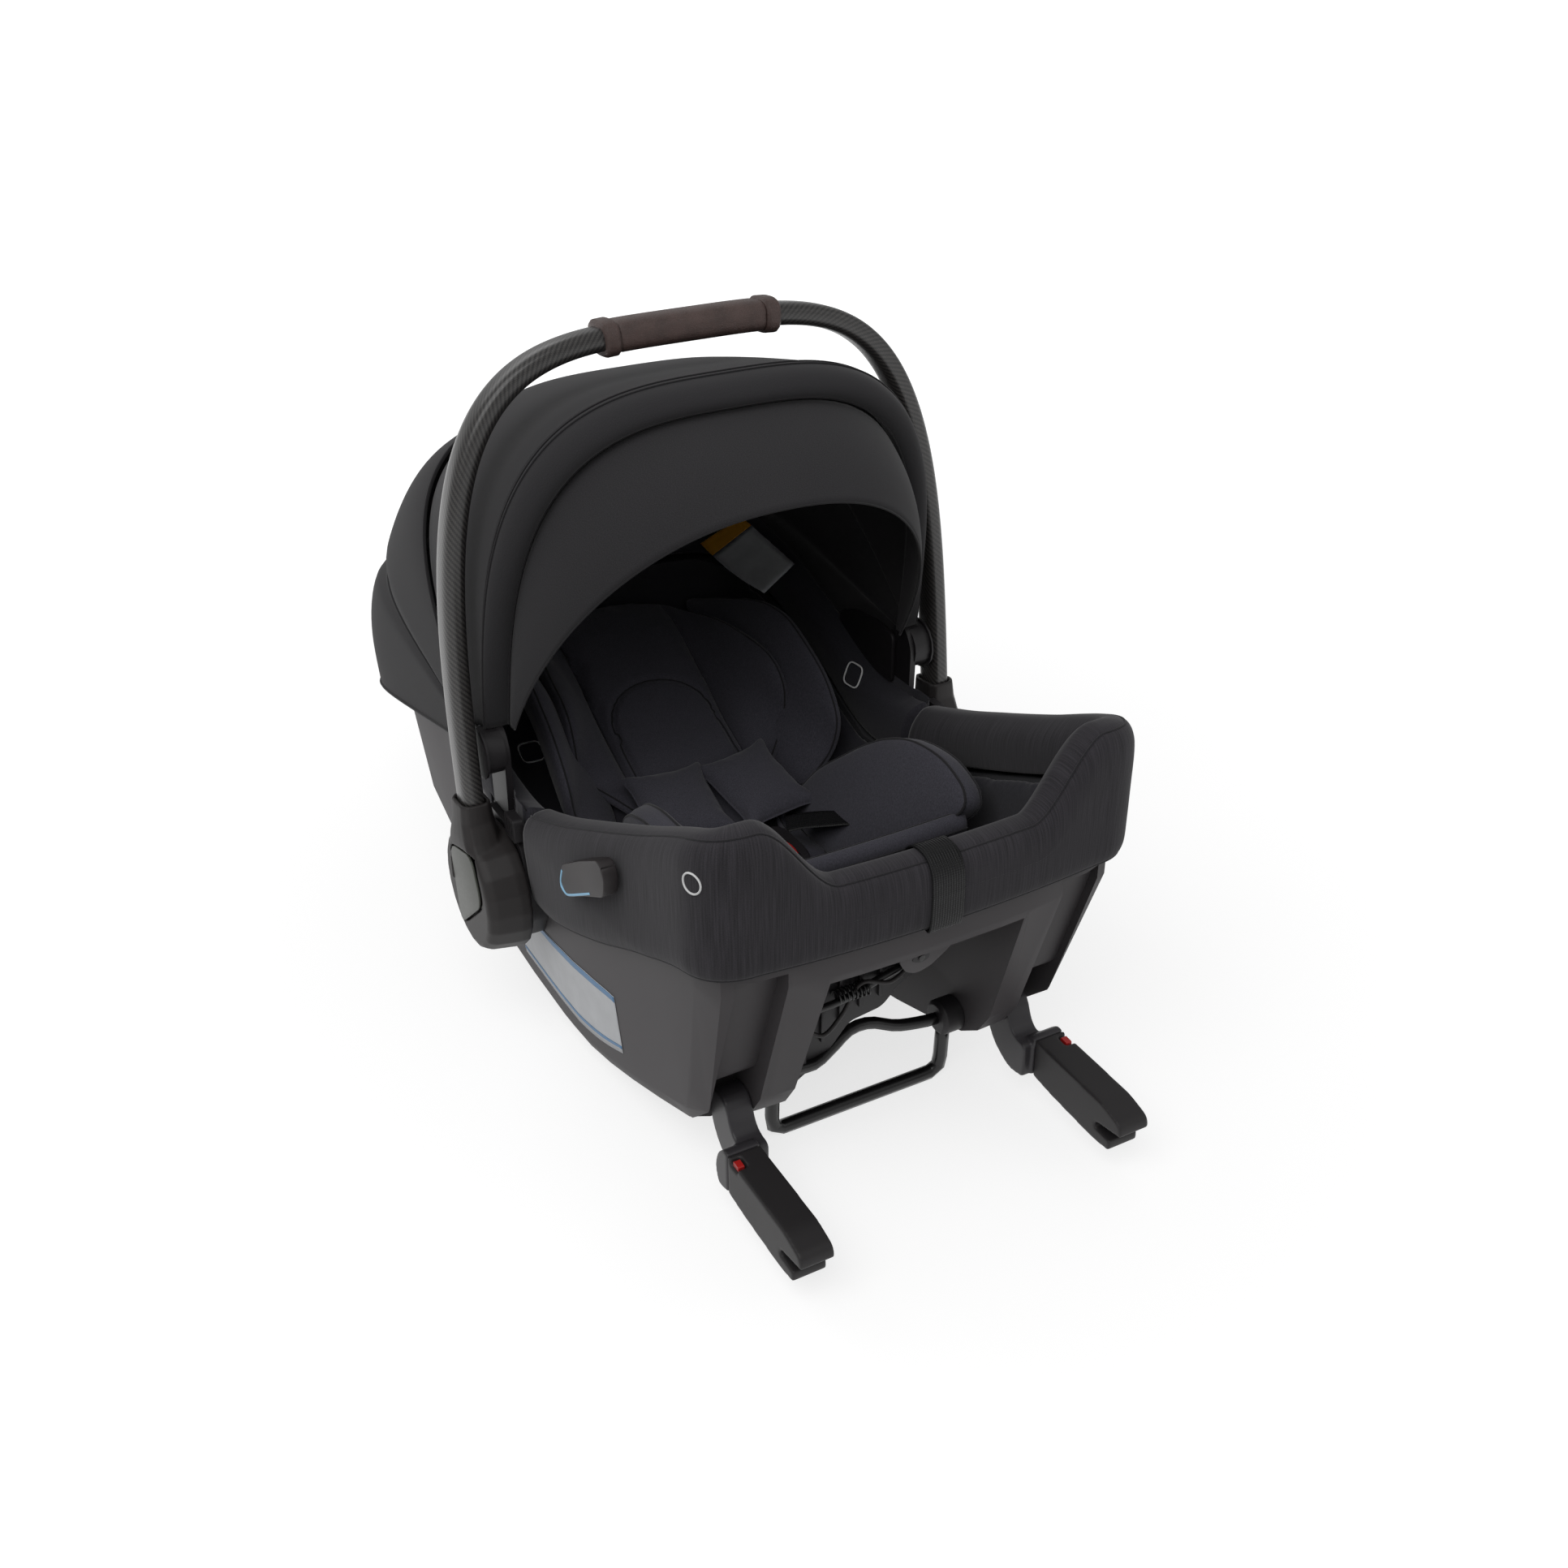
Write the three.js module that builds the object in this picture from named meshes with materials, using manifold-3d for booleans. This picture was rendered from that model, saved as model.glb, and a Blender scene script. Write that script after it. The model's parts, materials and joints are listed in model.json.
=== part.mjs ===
// Infant car seat: moulded carrier shell with a padded seat, carrying handle, folding canopy,
// fold-down foot and two rigid anchor arms. Millimetres, +Z up, foot end toward -Y.
// The origin lies on the floor, on the flat of the rocker base, between the handle hubs.

import * as THREE from 'three';
import { mergeVertices } from 'three/addons/utils/BufferGeometryUtils.js';
import Module from 'manifold-3d';

const wasm = await Module();
wasm.setup();

// ---------------------------------------------------------------- driving dimensions

const gap = 0.3; // between pieces that seat on each other
const softGap = 0.5; // between a soft piece and what it lies on

// carrier shell, seen in plan at its widest level
const shellFrontY = -330;
const shellHeadY = 345;
const shellFrontHalf = 170;
const shellMidHalf = 188;
const shellFrontCorner = 30;
const frontBow = 8; // of the front edge past its corners
const shellHeadCorner = 72;
const shellWall = 4;
const shellBottomRadius = 24;
const leanTopZ = 220; // the walls lean inward below this level
const sideLean = 0.08;
const frontLean = 0.32;
const headLean = 0.24;

// rocker base
const flatFrontY = -45;
const flatRearY = 55;
const rockerFrontRise = 0.0172;
const rockerFrontPower = 1.5;
const rockerRearRise = 0.0099;
const rockerRearPower = 1.7;

// padded rim
const crestDipZ = 224; // beside the hubs
const crestHeadZ = 300;
const crestCornerZ = 354;
const frontScoopDepth = 56;
const scoopInnerX = 78;
const scoopOuterX = 140;
const coverThickness = 12;
const coverRearY = -52;
const headCoverFrontY = -40;

// seat bowl
const foamThickness = 14;
const padThickness = 13;
const bowlRadius = 52;

// foot well and anchor arm bays
const wellTopHalf = 82;
const wellBottomHalf = 88;
const wellTopZ = 215;
const bayInnerX = 116;
const bayOuterX = 154;
const bayBackY = -246;
const pocketTopZ = 94;
const bayTopZ = 232;
const channelDepth = 13;

// handle
const hubY = -8;
const hubZ = 150;
const hubStandOff = 11; // from the shell's side to the hubs
const hubDepth = 36;
const hubOuterRadius = 44;
const hubInnerRadius = 50;
const legInset = 22.4; // of the legs' centre lines in the hubs
const handleHeight = 424;
const handleSquareness = 4;
const handleTiltDeg = 6.2;
const tubeDepth = 28;
const tubeThick = 18;
const collarTop = 80; // above the hub axis, along the leg
const socketDepth = 22;
const gripHalf = 62;
const gripSkin = 3.2;
const cuffLength = 12;
const cuffSkin = 5;

// canopy, turning about its own pins
const canopyY = 8;
const canopyZ = 265;
const pinRadius = 20;
const panelThick = 1.6;
const panelStandOff = 19; // from the shell's side to the widest panel
const panelStep = 2.6; // each panel folds inside the one behind it
const handleClearance = 137; // from the handle's height to the reach of the canopy's front bow
const humpOverhang = 15; // of the canopy's rear hem past the shell's head end
const brimDepth = 20;
const brimTurn = -10; // degrees back from the vertical
const brimRearTurn = -6;
const frontRearTurn = 34;
const middleRearTurn = 48;
const rearTurn = 104;
const drapeTurn = -32;

// foot
const footHalf = 79.4;
const footY = -240;
const footRadius = 6;
const bossY = -246;
const bossZ = 66;
const bossRadius = 15;
const crossRadius = 5;

// anchor arms
const armPivotY = -262;
const armPivotZ = 73;
const connectorInnerX = 125;
const connectorOuterX = 152.6;
const neckOuterX = 138;

// harness
const webbing = 1.6;
const insertThick = 18;
const insertLift = 1.6; // clearance under the insert in the curved bowl
const padSink = 2; // how deep a pad's plain underside would sink into the seat before it is trimmed

// sizes that follow from those above
const hubInnerX = shellMidHalf + hubStandOff;
const hubOuterX = hubInnerX + hubDepth;
const handleHalf = hubInnerX + legInset;
const rearPanelHalf = shellMidHalf + panelStandOff;
const middlePanelHalf = rearPanelHalf - panelStep;
const frontPanelHalf = middlePanelHalf - panelStep;
const bowReach = handleHeight - handleClearance;
const humpReach = shellHeadY + humpOverhang;

// ---------------------------------------------------------------- solid helpers

const V = (x, y, z) => new THREE.Vector3(x, y, z);
const rad = THREE.MathUtils.degToRad;
const lerp = THREE.MathUtils.lerp;
const smooth = THREE.MathUtils.smoothstep;

function signedVolume(position, index) {
  const [a, b, c] = [V(), V(), V()];
  let total = 0;
  for (let i = 0; i < index.length; i += 3) {
    a.fromBufferAttribute(position, index[i]);
    b.fromBufferAttribute(position, index[i + 1]);
    c.fromBufferAttribute(position, index[i + 2]);
    total += a.dot(b.cross(c));
  }
  return total / 6;
}

// a closed body from points and triangles, with its faces turned outward
function body(points, triangles) {
  const geometry = new THREE.BufferGeometry().setFromPoints(points);
  if (signedVolume(geometry.attributes.position, triangles) < 0) {
    for (let i = 0; i < triangles.length; i += 3) {
      [triangles[i], triangles[i + 1]] = [triangles[i + 1], triangles[i]];
    }
  }
  geometry.setIndex(triangles);
  geometry.computeVertexNormals();
  return geometry;
}

// triangles over one flat-ish loop of points
function capTriangles(loop) {
  const normal = V(0, 0, 0);
  loop.forEach((p, i) => normal.add(p.clone().cross(loop[(i + 1) % loop.length])));
  normal.normalize();
  const u = loop[1].clone().sub(loop[0]).projectOnPlane(normal).normalize();
  const v = normal.clone().cross(u);
  return THREE.ShapeUtils.triangulateShape(loop.map(p => new THREE.Vector2(p.dot(u), p.dot(v))), []);
}

// triangles between neighbouring loops, whose points start at the given places in one list
function strips(loops, starts) {
  const triangles = [];
  for (let k = 0; k + 1 < loops.length; k++) {
    const [a, b] = [loops[k].length, loops[k + 1].length];
    const [from, to] = [starts[k], starts[k + 1]];
    const count = Math.max(a, b);
    for (let i = 0; i < count; i++) {
      const j = (i + 1) % count;
      if (a > 1) triangles.push(from + i, from + j, to + i % b);
      if (b > 1) triangles.push(from + j % a, to + j, to + i);
    }
  }
  return triangles;
}

// skin through loops of equally many points; a loop of one point closes an end in a fan,
// any other end loop is capped
function loft(loops) {
  const points = [];
  const starts = loops.map(loop => points.push(...loop) - loop.length);
  const triangles = strips(loops, starts);
  const last = loops.length - 1;
  if (loops[0].length > 1) {
    capTriangles(loops[0]).forEach(([a, b, c]) => (
      triangles.push(starts[0] + b, starts[0] + a, starts[0] + c)));
  }
  if (loops[last].length > 1) {
    capTriangles(loops[last]).forEach(([a, b, c]) => {
      triangles.push(starts[last] + a, starts[last] + b, starts[last] + c);
    });
  }
  return body(points, triangles);
}

// bowl between an outer and an inner skin, each given from its pole to its rim; both skins are
// split into triangles the same way, so that bowls which nest stay a constant distance apart
function bowl(outer, inner) {
  const points = [];
  const starts = [...outer, ...inner].map(loop => points.push(...loop) - loop.length);
  const [outerStarts, innerStarts] = [starts.slice(0, outer.length), starts.slice(outer.length)];
  const rim = strips([outer.at(-1), inner.at(-1)], [outerStarts.at(-1), innerStarts.at(-1)]);
  return body(points, [...strips(outer, outerStarts), ...rim, ...strips(inner, innerStarts).reverse()]);
}

// a sheet between two grids of points that share their rows and columns
function sheetBody(outer, inner) {
  const [rows, columns] = [outer.length, outer[0].length];
  const points = [...outer.flat(), ...inner.flat()];
  const at = (side, r, c) => side * rows * columns + r * columns + c;
  const triangles = [];
  const quad = (a, b, c, d) => triangles.push(a, b, c, a, c, d);
  for (let r = 0; r + 1 < rows; r++) {
    for (let c = 0; c + 1 < columns; c++) {
      quad(at(0, r, c), at(0, r, c + 1), at(0, r + 1, c + 1), at(0, r + 1, c));
      quad(at(1, r, c), at(1, r + 1, c), at(1, r + 1, c + 1), at(1, r, c + 1));
    }
    quad(at(0, r, 0), at(0, r + 1, 0), at(1, r + 1, 0), at(1, r, 0));
    quad(at(0, r + 1, columns - 1), at(0, r, columns - 1), at(1, r, columns - 1), at(1, r + 1, columns - 1));
  }
  for (let c = 0; c + 1 < columns; c++) {
    quad(at(0, 0, c + 1), at(0, 0, c), at(1, 0, c), at(1, 0, c + 1));
    quad(at(0, rows - 1, c), at(0, rows - 1, c + 1), at(1, rows - 1, c + 1), at(1, rows - 1, c));
  }
  return body(points, triangles);
}

function manifoldOf(geometry) {
  const bare = geometry.clone();
  bare.deleteAttribute('normal');
  bare.deleteAttribute('uv');
  const merged = mergeVertices(bare, 1e-4);
  return new wasm.Manifold(new wasm.Mesh({
    numProp: 3,
    vertProperties: new Float32Array(merged.attributes.position.array),
    triVerts: new Uint32Array(merged.index.array),
  }));
}

function geometryOf(solid) {
  const mesh = solid.getMesh();
  const geometry = new THREE.BufferGeometry();
  geometry.setAttribute('position', new THREE.BufferAttribute(new Float32Array(mesh.vertProperties), 3));
  geometry.setIndex(new THREE.BufferAttribute(new Uint32Array(mesh.triVerts), 1));
  geometry.computeVertexNormals();
  return geometry;
}

const combine = (operation, first, rest) => geometryOf(
  rest.reduce((solid, tool) => solid[operation](manifoldOf(tool)), manifoldOf(first)));
const join = (first, ...rest) => combine('add', first, rest);
const cut = (first, ...rest) => combine('subtract', first, rest);
const common = (first, ...rest) => combine('intersect', first, rest);

// mirror image across the YZ plane
function mirrored(geometry) {
  const copy = geometry.clone().scale(-1, 1, 1);
  const count = copy.attributes.position.count;
  const order = copy.index ? Array.from(copy.index.array) : [...Array(count).keys()];
  for (let i = 0; i < order.length; i += 3) [order[i], order[i + 1]] = [order[i + 1], order[i]];
  copy.setIndex(order);
  copy.computeVertexNormals();
  return copy;
}

function block(x0, x1, y0, y1, z0, z1) {
  return new THREE.BoxGeometry(x1 - x0, y1 - y0, z1 - z0)
    .translate((x0 + x1) / 2, (y0 + y1) / 2, (z0 + z1) / 2);
}

// closed outline with rounded corners; points are [a, b, radius], a fillet stops at half an edge
function roundedShape(points) {
  const shape = new THREE.Shape();
  points.forEach(([x, y, radius = 0], i) => {
    const corner = new THREE.Vector2(x, y);
    const neighbours = [points.length - 1, 1].map(k => {
      const [nx, ny] = points[(i + k) % points.length];
      return new THREE.Vector2(nx, ny).sub(corner);
    });
    const fillet = Math.min(radius, ...neighbours.map(edge => 0.49 * edge.length()));
    const [before, after] = neighbours.map(edge => edge.setLength(fillet).add(corner));
    if (i === 0) shape.moveTo(before.x, before.y);
    else shape.lineTo(before.x, before.y);
    if (fillet > 0) shape.quadraticCurveTo(corner.x, corner.y, after.x, after.y);
  });
  return shape;
}

// outline in the YZ plane, extruded from x0 to x1; points are [y, z, radius]
function plateX(points, x0, x1, steps = 3) {
  const plate = new THREE.ExtrudeGeometry(roundedShape(points), {
    depth: x1 - x0, steps: 1, curveSegments: steps, bevelEnabled: false,
  });
  // the shape's own axes (x, y, depth) become the part's (y, z, x)
  return plate.applyMatrix4(new THREE.Matrix4().set(0, 0, 1, x0, 1, 0, 0, 0, 0, 1, 0, 0, 0, 0, 0, 1));
}

// body of revolution about an axis along X through (y, z); profile is [[x, radius], ...]
function turnedX(profile, y, z, sides = 24) {
  return new THREE.LatheGeometry(profile.map(([x, r]) => new THREE.Vector2(r, x)), sides)
    .rotateZ(-Math.PI / 2).translate(0, y, z);
}

// round bar along a path
function bar(path, radius, steps, sides = 10) {
  const section = new THREE.Shape().absarc(0, 0, radius, 0, 2 * Math.PI);
  return new THREE.ExtrudeGeometry(section, {
    steps, extrudePath: path, bevelEnabled: false, curveSegments: sides,
  });
}

// closed rounded-rectangle section: half sizes and corner exponent
function roundedLoop(halfA, halfB, sides, power = 4) {
  return Array.from({ length: sides }, (_, i) => {
    const t = 2 * Math.PI * (i + 0.5) / sides;
    const [c, s] = [Math.cos(t), Math.sin(t)];
    const k = (Math.abs(c) ** power + Math.abs(s) ** power) ** (-1 / power);
    return [halfA * c * k, halfB * s * k];
  });
}

// smooth height along one coordinate, through [place, value] stops
function profile(stops) {
  const spline = new THREE.CubicInterpolant(stops.map(s => s[0]), stops.map(s => s[1]), 1);
  const [low, high] = [stops[0][0], stops[stops.length - 1][0]];
  return place => spline.evaluate(THREE.MathUtils.clamp(place, low, high))[0];
}

// ---------------------------------------------------------------- carrier forms

// half outline of the shell from the middle of the front to the middle of the head end, as
// stations that lie closer together in the corners and where the front is scooped
const P = (x, y) => new THREE.Vector2(x, y);
const frontRun = shellFrontHalf - shellFrontCorner;
const frontAt = x => P(x, shellFrontY - frontBow * (1 - (x / frontRun) ** 2));
const frontCorner = new THREE.QuadraticBezierCurve(
  P(frontRun, shellFrontY), P(shellFrontHalf, shellFrontY),
  P(shellFrontHalf + 2, shellFrontY + shellFrontCorner));
const side = new THREE.CubicBezierCurve(
  P(shellFrontHalf + 2, shellFrontY + shellFrontCorner), P(shellFrontHalf + 9, -190),
  P(shellMidHalf, -130), P(shellMidHalf, coverRearY));
const headCorner = new THREE.EllipseCurve(
  shellMidHalf - shellHeadCorner, shellHeadY - shellHeadCorner, shellHeadCorner, shellHeadCorner,
  0, Math.PI / 2);
const rightHalf = [
  ...[0, 60, 85, 112].map(frontAt),
  ...frontCorner.getPoints(2), ...side.getPoints(5).slice(1),
  ...[-40, 30, 110, 200].map(y => P(shellMidHalf, y)),
  ...headCorner.getPoints(3), P(60, shellHeadY), P(0, shellHeadY),
];
const halfCount = rightHalf.length - 1;
const plan = [...rightHalf, ...rightHalf.slice(1, -1).reverse().map(p => P(-p.x, p.y))];
const planNormals = plan.map((_, i) => {
  const before = plan[(i + plan.length - 1) % plan.length];
  const after = plan[(i + 1) % plan.length];
  return new THREE.Vector2(after.y - before.y, before.x - after.x).normalize();
});

// point of the outer wall at one station of the plan, at height z, pushed outward by out
function wallPoint(i, z, out = 0) {
  const drop = Math.max(0, leanTopZ - z);
  const p = plan[i];
  const lengthLean = p.y < 0 ? frontLean * drop / -shellFrontY : headLean * drop / shellHeadY;
  const n = planNormals[i];
  return V(p.x * (1 - sideLean * drop / shellMidHalf) + n.x * out, p.y * (1 - lengthLean) + n.y * out, z);
}

function rockerZ(y) {
  if (y < flatFrontY) return rockerFrontRise * (flatFrontY - y) ** rockerFrontPower;
  if (y > flatRearY) return rockerRearRise * (y - flatRearY) ** rockerRearPower;
  return 0;
}

const sideCrest = profile([
  [shellFrontY, crestCornerZ], [-300, 344], [-230, 310], [-160, 278], [-90, 248], [-20, crestDipZ + 2],
  [40, crestDipZ + 4], [120, 258], [220, 290], [shellHeadY, crestHeadZ],
]);

// height of the padded rim above each station: high at the front corners, scooped between them
function crestZ(i) {
  const { x, y } = plan[i];
  const atFront = 1 - smooth(y, shellFrontY, shellFrontY + 45);
  const scoop = frontScoopDepth * (1 - smooth(Math.abs(x), scoopInnerX, scoopOuterX));
  return sideCrest(y) - scoop * atFront;
}

const seatLine = profile([
  [-300, 243], [-240, 190], [-180, 150], [-120, 128], [-50, 122], [8, 133], [56, 150], [106, 173],
  [172, 210], [233, 239], [300, 257], [340, 264],
]);

// rings of a bowl-shaped skin that lies a depth inside the shell's outer surface, from the pole
// of its floor to its rim; floorZ gives the height of its lowest line, and skins that nest share
// the level footZ, at which the foot of their rounded corner is set out
function bowlRings(depth, floorZ, radius, rimZ, floorShares, footZ = floorZ) {
  const ring = (inset, height) => plan.map((_, i) => {
    let p = wallPoint(i, leanTopZ, -inset);
    for (let pass = 0; pass < 5; pass++) p = wallPoint(i, height(i, p.y), -inset);
    return p;
  });
  const foot = ring(depth + radius, (i, y) => footZ(y));
  const floor = [...floorShares, 1].map(scale => (
    foot.map(p => V(p.x * scale, p.y * scale, floorZ(p.y * scale)))));
  const corner = [0.5, 1].map(share => {
    const angle = share * Math.PI / 2;
    return ring(depth + radius * (1 - Math.sin(angle)), (i, y) => {
      const flatter = Math.min(1, 0.7 * (rimZ(i) - floorZ(y)) / radius);
      return floorZ(y) + radius * (1 - Math.cos(angle)) * flatter;
    });
  });
  // the wall bends where its lean ends, so every skin has a ring there
  const bend = corner[1].map((p, i) => {
    const bendZ = Math.min(leanTopZ, rimZ(i) - 2);
    return wallPoint(i, bendZ > p.z + 2 ? bendZ : (p.z + rimZ(i)) / 2, -depth);
  });
  const rim = plan.map((_, i) => wallPoint(i, rimZ(i), -depth));
  return [[V(0, 0, floorZ(0))], ...floor, ...corner, bend, rim];
}

const shellRimZ = i => crestZ(i) - 9;
const shellFloor = [0.12, 0.35, 0.62, 0.86];
const outerRings = bowlRings(0, rockerZ, shellBottomRadius, shellRimZ, shellFloor);
const innerRings = bowlRings(
  shellWall, y => rockerZ(y) + shellWall, shellBottomRadius - shellWall, shellRimZ, shellFloor);

// the shell's outer volume, filled, used to trim what belongs to it
const shellVolume = loft([...outerRings, [V(0, 0, crestDipZ - 9)]]);

// foot well: side outline below the seat, narrowing upward
function wellTool(grow) {
  const side = plateX([
    [shellFrontY - 30, -30], [shellFrontY - 30, wellTopZ + grow], [-302, wellTopZ - 7 + grow, 8],
    [-236, 148 + grow, 20], [-170, 98 + grow, 20], [-112 + grow, 42, 20], [-100 + grow, -30],
  ], -wellBottomHalf - 40, wellBottomHalf + 40);
  const keystone = new THREE.Shape([
    P(-wellBottomHalf - grow, -31), P(wellBottomHalf + grow, -31), P(wellBottomHalf + grow, 90),
    P(wellTopHalf + grow, wellTopZ + 10 + grow), P(-wellTopHalf - grow, wellTopZ + 10 + grow),
    P(-wellBottomHalf - grow, 90),
  ]);
  const across = new THREE.ExtrudeGeometry(keystone, { depth: 340, bevelEnabled: false })
    .rotateX(Math.PI / 2).translate(0, -60, 0);
  return common(side, across);
}

// bay in each front corner: a pocket round the anchor arm's pivot, and above it a channel as deep
// all the way up the leaning wall, which the folded arm lies in
function bayTool(grow) {
  const channelY = z => shellFrontY + frontLean * Math.max(0, leanTopZ - z) + channelDepth + grow;
  return plateX([
    [shellFrontY - 30, -30], [shellFrontY - 30, bayTopZ + grow], [channelY(bayTopZ), bayTopZ + grow, 4],
    [channelY(leanTopZ), leanTopZ], [channelY(pocketTopZ + 22), pocketTopZ + 22, 8],
    [bayBackY + grow, pocketTopZ + grow, 8], [bayBackY + grow, -30],
  ], bayInnerX - grow, bayOuterX + 2 * grow);
}

function carrierShell() {
  const tub = bowl(outerRings, innerRings);
  const housings = [wellTool(shellWall), bayTool(shellWall), mirrored(bayTool(shellWall))]
    .map(tool => common(tool, shellVolume));
  return cut(join(tub, ...housings), wellTool(0), bayTool(0), mirrored(bayTool(0)));
}

// ---------------------------------------------------------------- seat bowl and rim

const linerDepth = shellWall + softGap;
const padDepth = linerDepth + foamThickness + softGap;
const linerRimZ = i => crestZ(i) - 54;
const bowlFloor = [0.2, 0.45, 0.7, 0.88];

function foamLiner() {
  const floor = y => seatLine(y) - padThickness - softGap - foamThickness;
  const outer = bowlRings(linerDepth, floor, bowlRadius, linerRimZ, bowlFloor, seatLine);
  const inner = bowlRings(linerDepth + foamThickness, y => floor(y) + foamThickness,
    bowlRadius - foamThickness, linerRimZ, bowlFloor, seatLine);
  const clear = shellWall + softGap;
  return cut(bowl(outer, inner),
    wellTool(clear), bayTool(clear), mirrored(bayTool(clear)));
}

// the seat pad's bowl with its inner surface raised by grow
function padBowl(grow) {
  const thick = padThickness + grow;
  const radius = bowlRadius - foamThickness - softGap;
  return bowl(
    bowlRings(padDepth, y => seatLine(y) - padThickness, radius, linerRimZ, bowlFloor, seatLine),
    bowlRings(
      padDepth + thick, y => seatLine(y) + grow, radius - thick, i => linerRimZ(i) + grow, bowlFloor));
}

function seatPad() {
  const clear = shellWall + softGap;
  return cut(padBowl(0), bayTool(clear), mirrored(bayTool(clear)));
}

// trims the underside of what lies on the seat pad to the pad's own surface
const seatTool = padBowl(gap);
const onPad = geometry => cut(geometry, seatTool);

const hemZ = profile([
  [shellFrontY, 243], [-290, 234], [-240, 214], [-180, 184], [-120, 160], [-90, 151], [-50, 147],
]);

// the hooked section of a fabric rim at one station: over the shell's edge, down both sides
function hookLoop(i, hem, puff, flap) {
  const crest = crestZ(i);
  const slotTop = shellRimZ(i) + 2.5;
  const inside = -(shellWall + softGap);
  const bend = low => THREE.MathUtils.clamp(leanTopZ, low + 1, slotTop - 1);
  return [
    [softGap, bend(hem)], [softGap, hem], [lerp(softGap, puff, 0.75), hem + 2], [puff, hem + 16],
    [puff, crest - 24], [puff * 0.45, crest - 5],
    [-puff, crest], [-flap * 0.8, crest - 9], [-flap, crest - 26], [-flap + 3, crest - 48],
    [inside, crest - 49], [inside, bend(crest - 49)], [inside, slotTop], [softGap, slotTop],
  ].map(([out, z]) => wallPoint(i, z, out));
}

// stations of the plan from one side round the front or the head to the other side
function stationsWhere(test) {
  const indices = plan.map((_, i) => i).filter(i => test(plan[i]));
  const side = i => (i <= halfCount ? i : i - plan.length);
  return indices.sort((a, b) => side(a) - side(b));
}

function seatCover() {
  const stations = stationsWhere(p => p.y <= coverRearY);
  return loft(stations.map(i => hookLoop(i, hemZ(plan[i].y), coverThickness, 26)));
}

function headCover() {
  const around = i => (i <= halfCount ? i : i - plan.length);
  const order = plan.map((_, i) => i).filter(i => plan[i].y >= headCoverFrontY)
    .sort((a, b) => (around(a) + plan.length) % plan.length - (around(b) + plan.length) % plan.length);
  const cover = loft(order.map(i => {
    const depth = lerp(44, 62, smooth(plan[i].y, 60, 200));
    return hookLoop(i, crestZ(i) - depth, 3.5, 22);
  }));
  // room for the canopy's brackets and the handle's housings, which stand on the bare shell
  const room = [
    block(shellMidHalf - 0.2, shellMidHalf + 10, canopyY - 21, canopyY + 21, 150, 300),
    block(shellMidHalf - 12, shellMidHalf + 10, -60, 44, 90, 206),
  ];
  return cut(cover, ...room, ...room.map(mirrored));
}

// ---------------------------------------------------------------- pads and harness

// slope of the seat line, and the height that lies a normal distance above it
const seatSlope = y => Math.atan((seatLine(y + 2) - seatLine(y - 2)) / 4);
const onSeat = (y, up) => seatLine(y) + up / Math.cos(seatSlope(y));

// a cushion that follows the seat line between two places along Y
function cushion(y0, y1, half, thick, lift, steps, sides = 16) {
  const loops = Array.from({ length: steps }, (_, k) => {
    const share = (k + 0.5) / steps;
    const swell = (1 - (2 * share - 1) ** 8) ** 0.5;
    const y = lerp(y0, y1, share);
    const slope = seatSlope(y);
    return roundedLoop(half(share), thick / 2 * swell, sides, 3.2).map(([x, up]) => (
      V(x, y - up * Math.sin(slope), onSeat(y, lift + thick / 2) + up * Math.cos(slope))));
  });
  const end = y => [V(0, y, onSeat(y, lift + thick / 2))];
  return loft([end(y0), ...loops, end(y1)]);
}

function infantInsert() {
  const half = share => 62 + 18 * Math.sin(Math.PI * (0.15 + share * 0.8));
  return cushion(-95, 250, half, insertThick, insertLift, 10, 14);
}

// head support: one padded wall that runs up one side of the head, round the top and down the other
function headSupport() {
  const path = new THREE.Path();
  path.moveTo(-102, 12);
  path.lineTo(-104, 165);
  path.quadraticCurveTo(-100, 268, 0, 268);
  path.quadraticCurveTo(100, 268, 104, 165);
  path.lineTo(102, 12);
  const count = 18;
  const loops = path.getSpacedPoints(count).map((p, k, all) => {
    const share = k / count;
    const ahead = all[Math.min(k + 1, count)].clone().sub(all[Math.max(k - 1, 0)]).normalize();
    const swell = Math.sin(Math.PI * THREE.MathUtils.clamp(0.05 + share * 0.9, 0, 1)) ** 0.35;
    const wing = 1 - smooth(Math.abs(share - 0.5), 0.05, 0.3);
    const half = lerp(56, 26, wing) * swell;
    const base = onSeat(p.y, -padSink);
    return roundedLoop(15 * swell, half, 10, 2.6).map(([across, up]) => (
      V(p.x - ahead.y * across, p.y + ahead.x * across, base + half + up)));
  });
  return onPad(loft(loops));
}

// flat webbing through points of the seat, [x, y, height above the seat line]
function strap(stops, halfWidth, lengthwise = true, grow = 0) {
  const curve = new THREE.CatmullRomCurve3(stops.map(([x, y, up]) => V(x, y, onSeat(y, up))));
  const count = 10;
  const loops = Array.from({ length: count + 1 }, (_, k) => {
    const p = curve.getPointAt(k / count);
    const along = curve.getTangentAt(k / count);
    const side = (lengthwise ? V(1, 0, 0) : V(0, 1, 0)).projectOnPlane(along).normalize();
    const up = side.clone().cross(along).normalize();
    return [[1, 1], [-1, 1], [-1, -1], [1, -1]].map(([a, b]) => p.clone()
      .addScaledVector(side, a * (halfWidth + grow))
      .addScaledVector(up, b * (webbing / 2 + grow)));
  });
  return loft(loops);
}

const strapLift = insertLift + insertThick + 1 + webbing / 2;

const shoulderStrap = (grow = 0) => strap([205, 175, 145, 115, 85, 55, 25, -5, -35, -62].map(y => (
  [lerp(36, 19, smooth(-y, 0, 62)), y, strapLift + 5 * smooth(-y, 10, 62)])), 13, true, grow);

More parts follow.
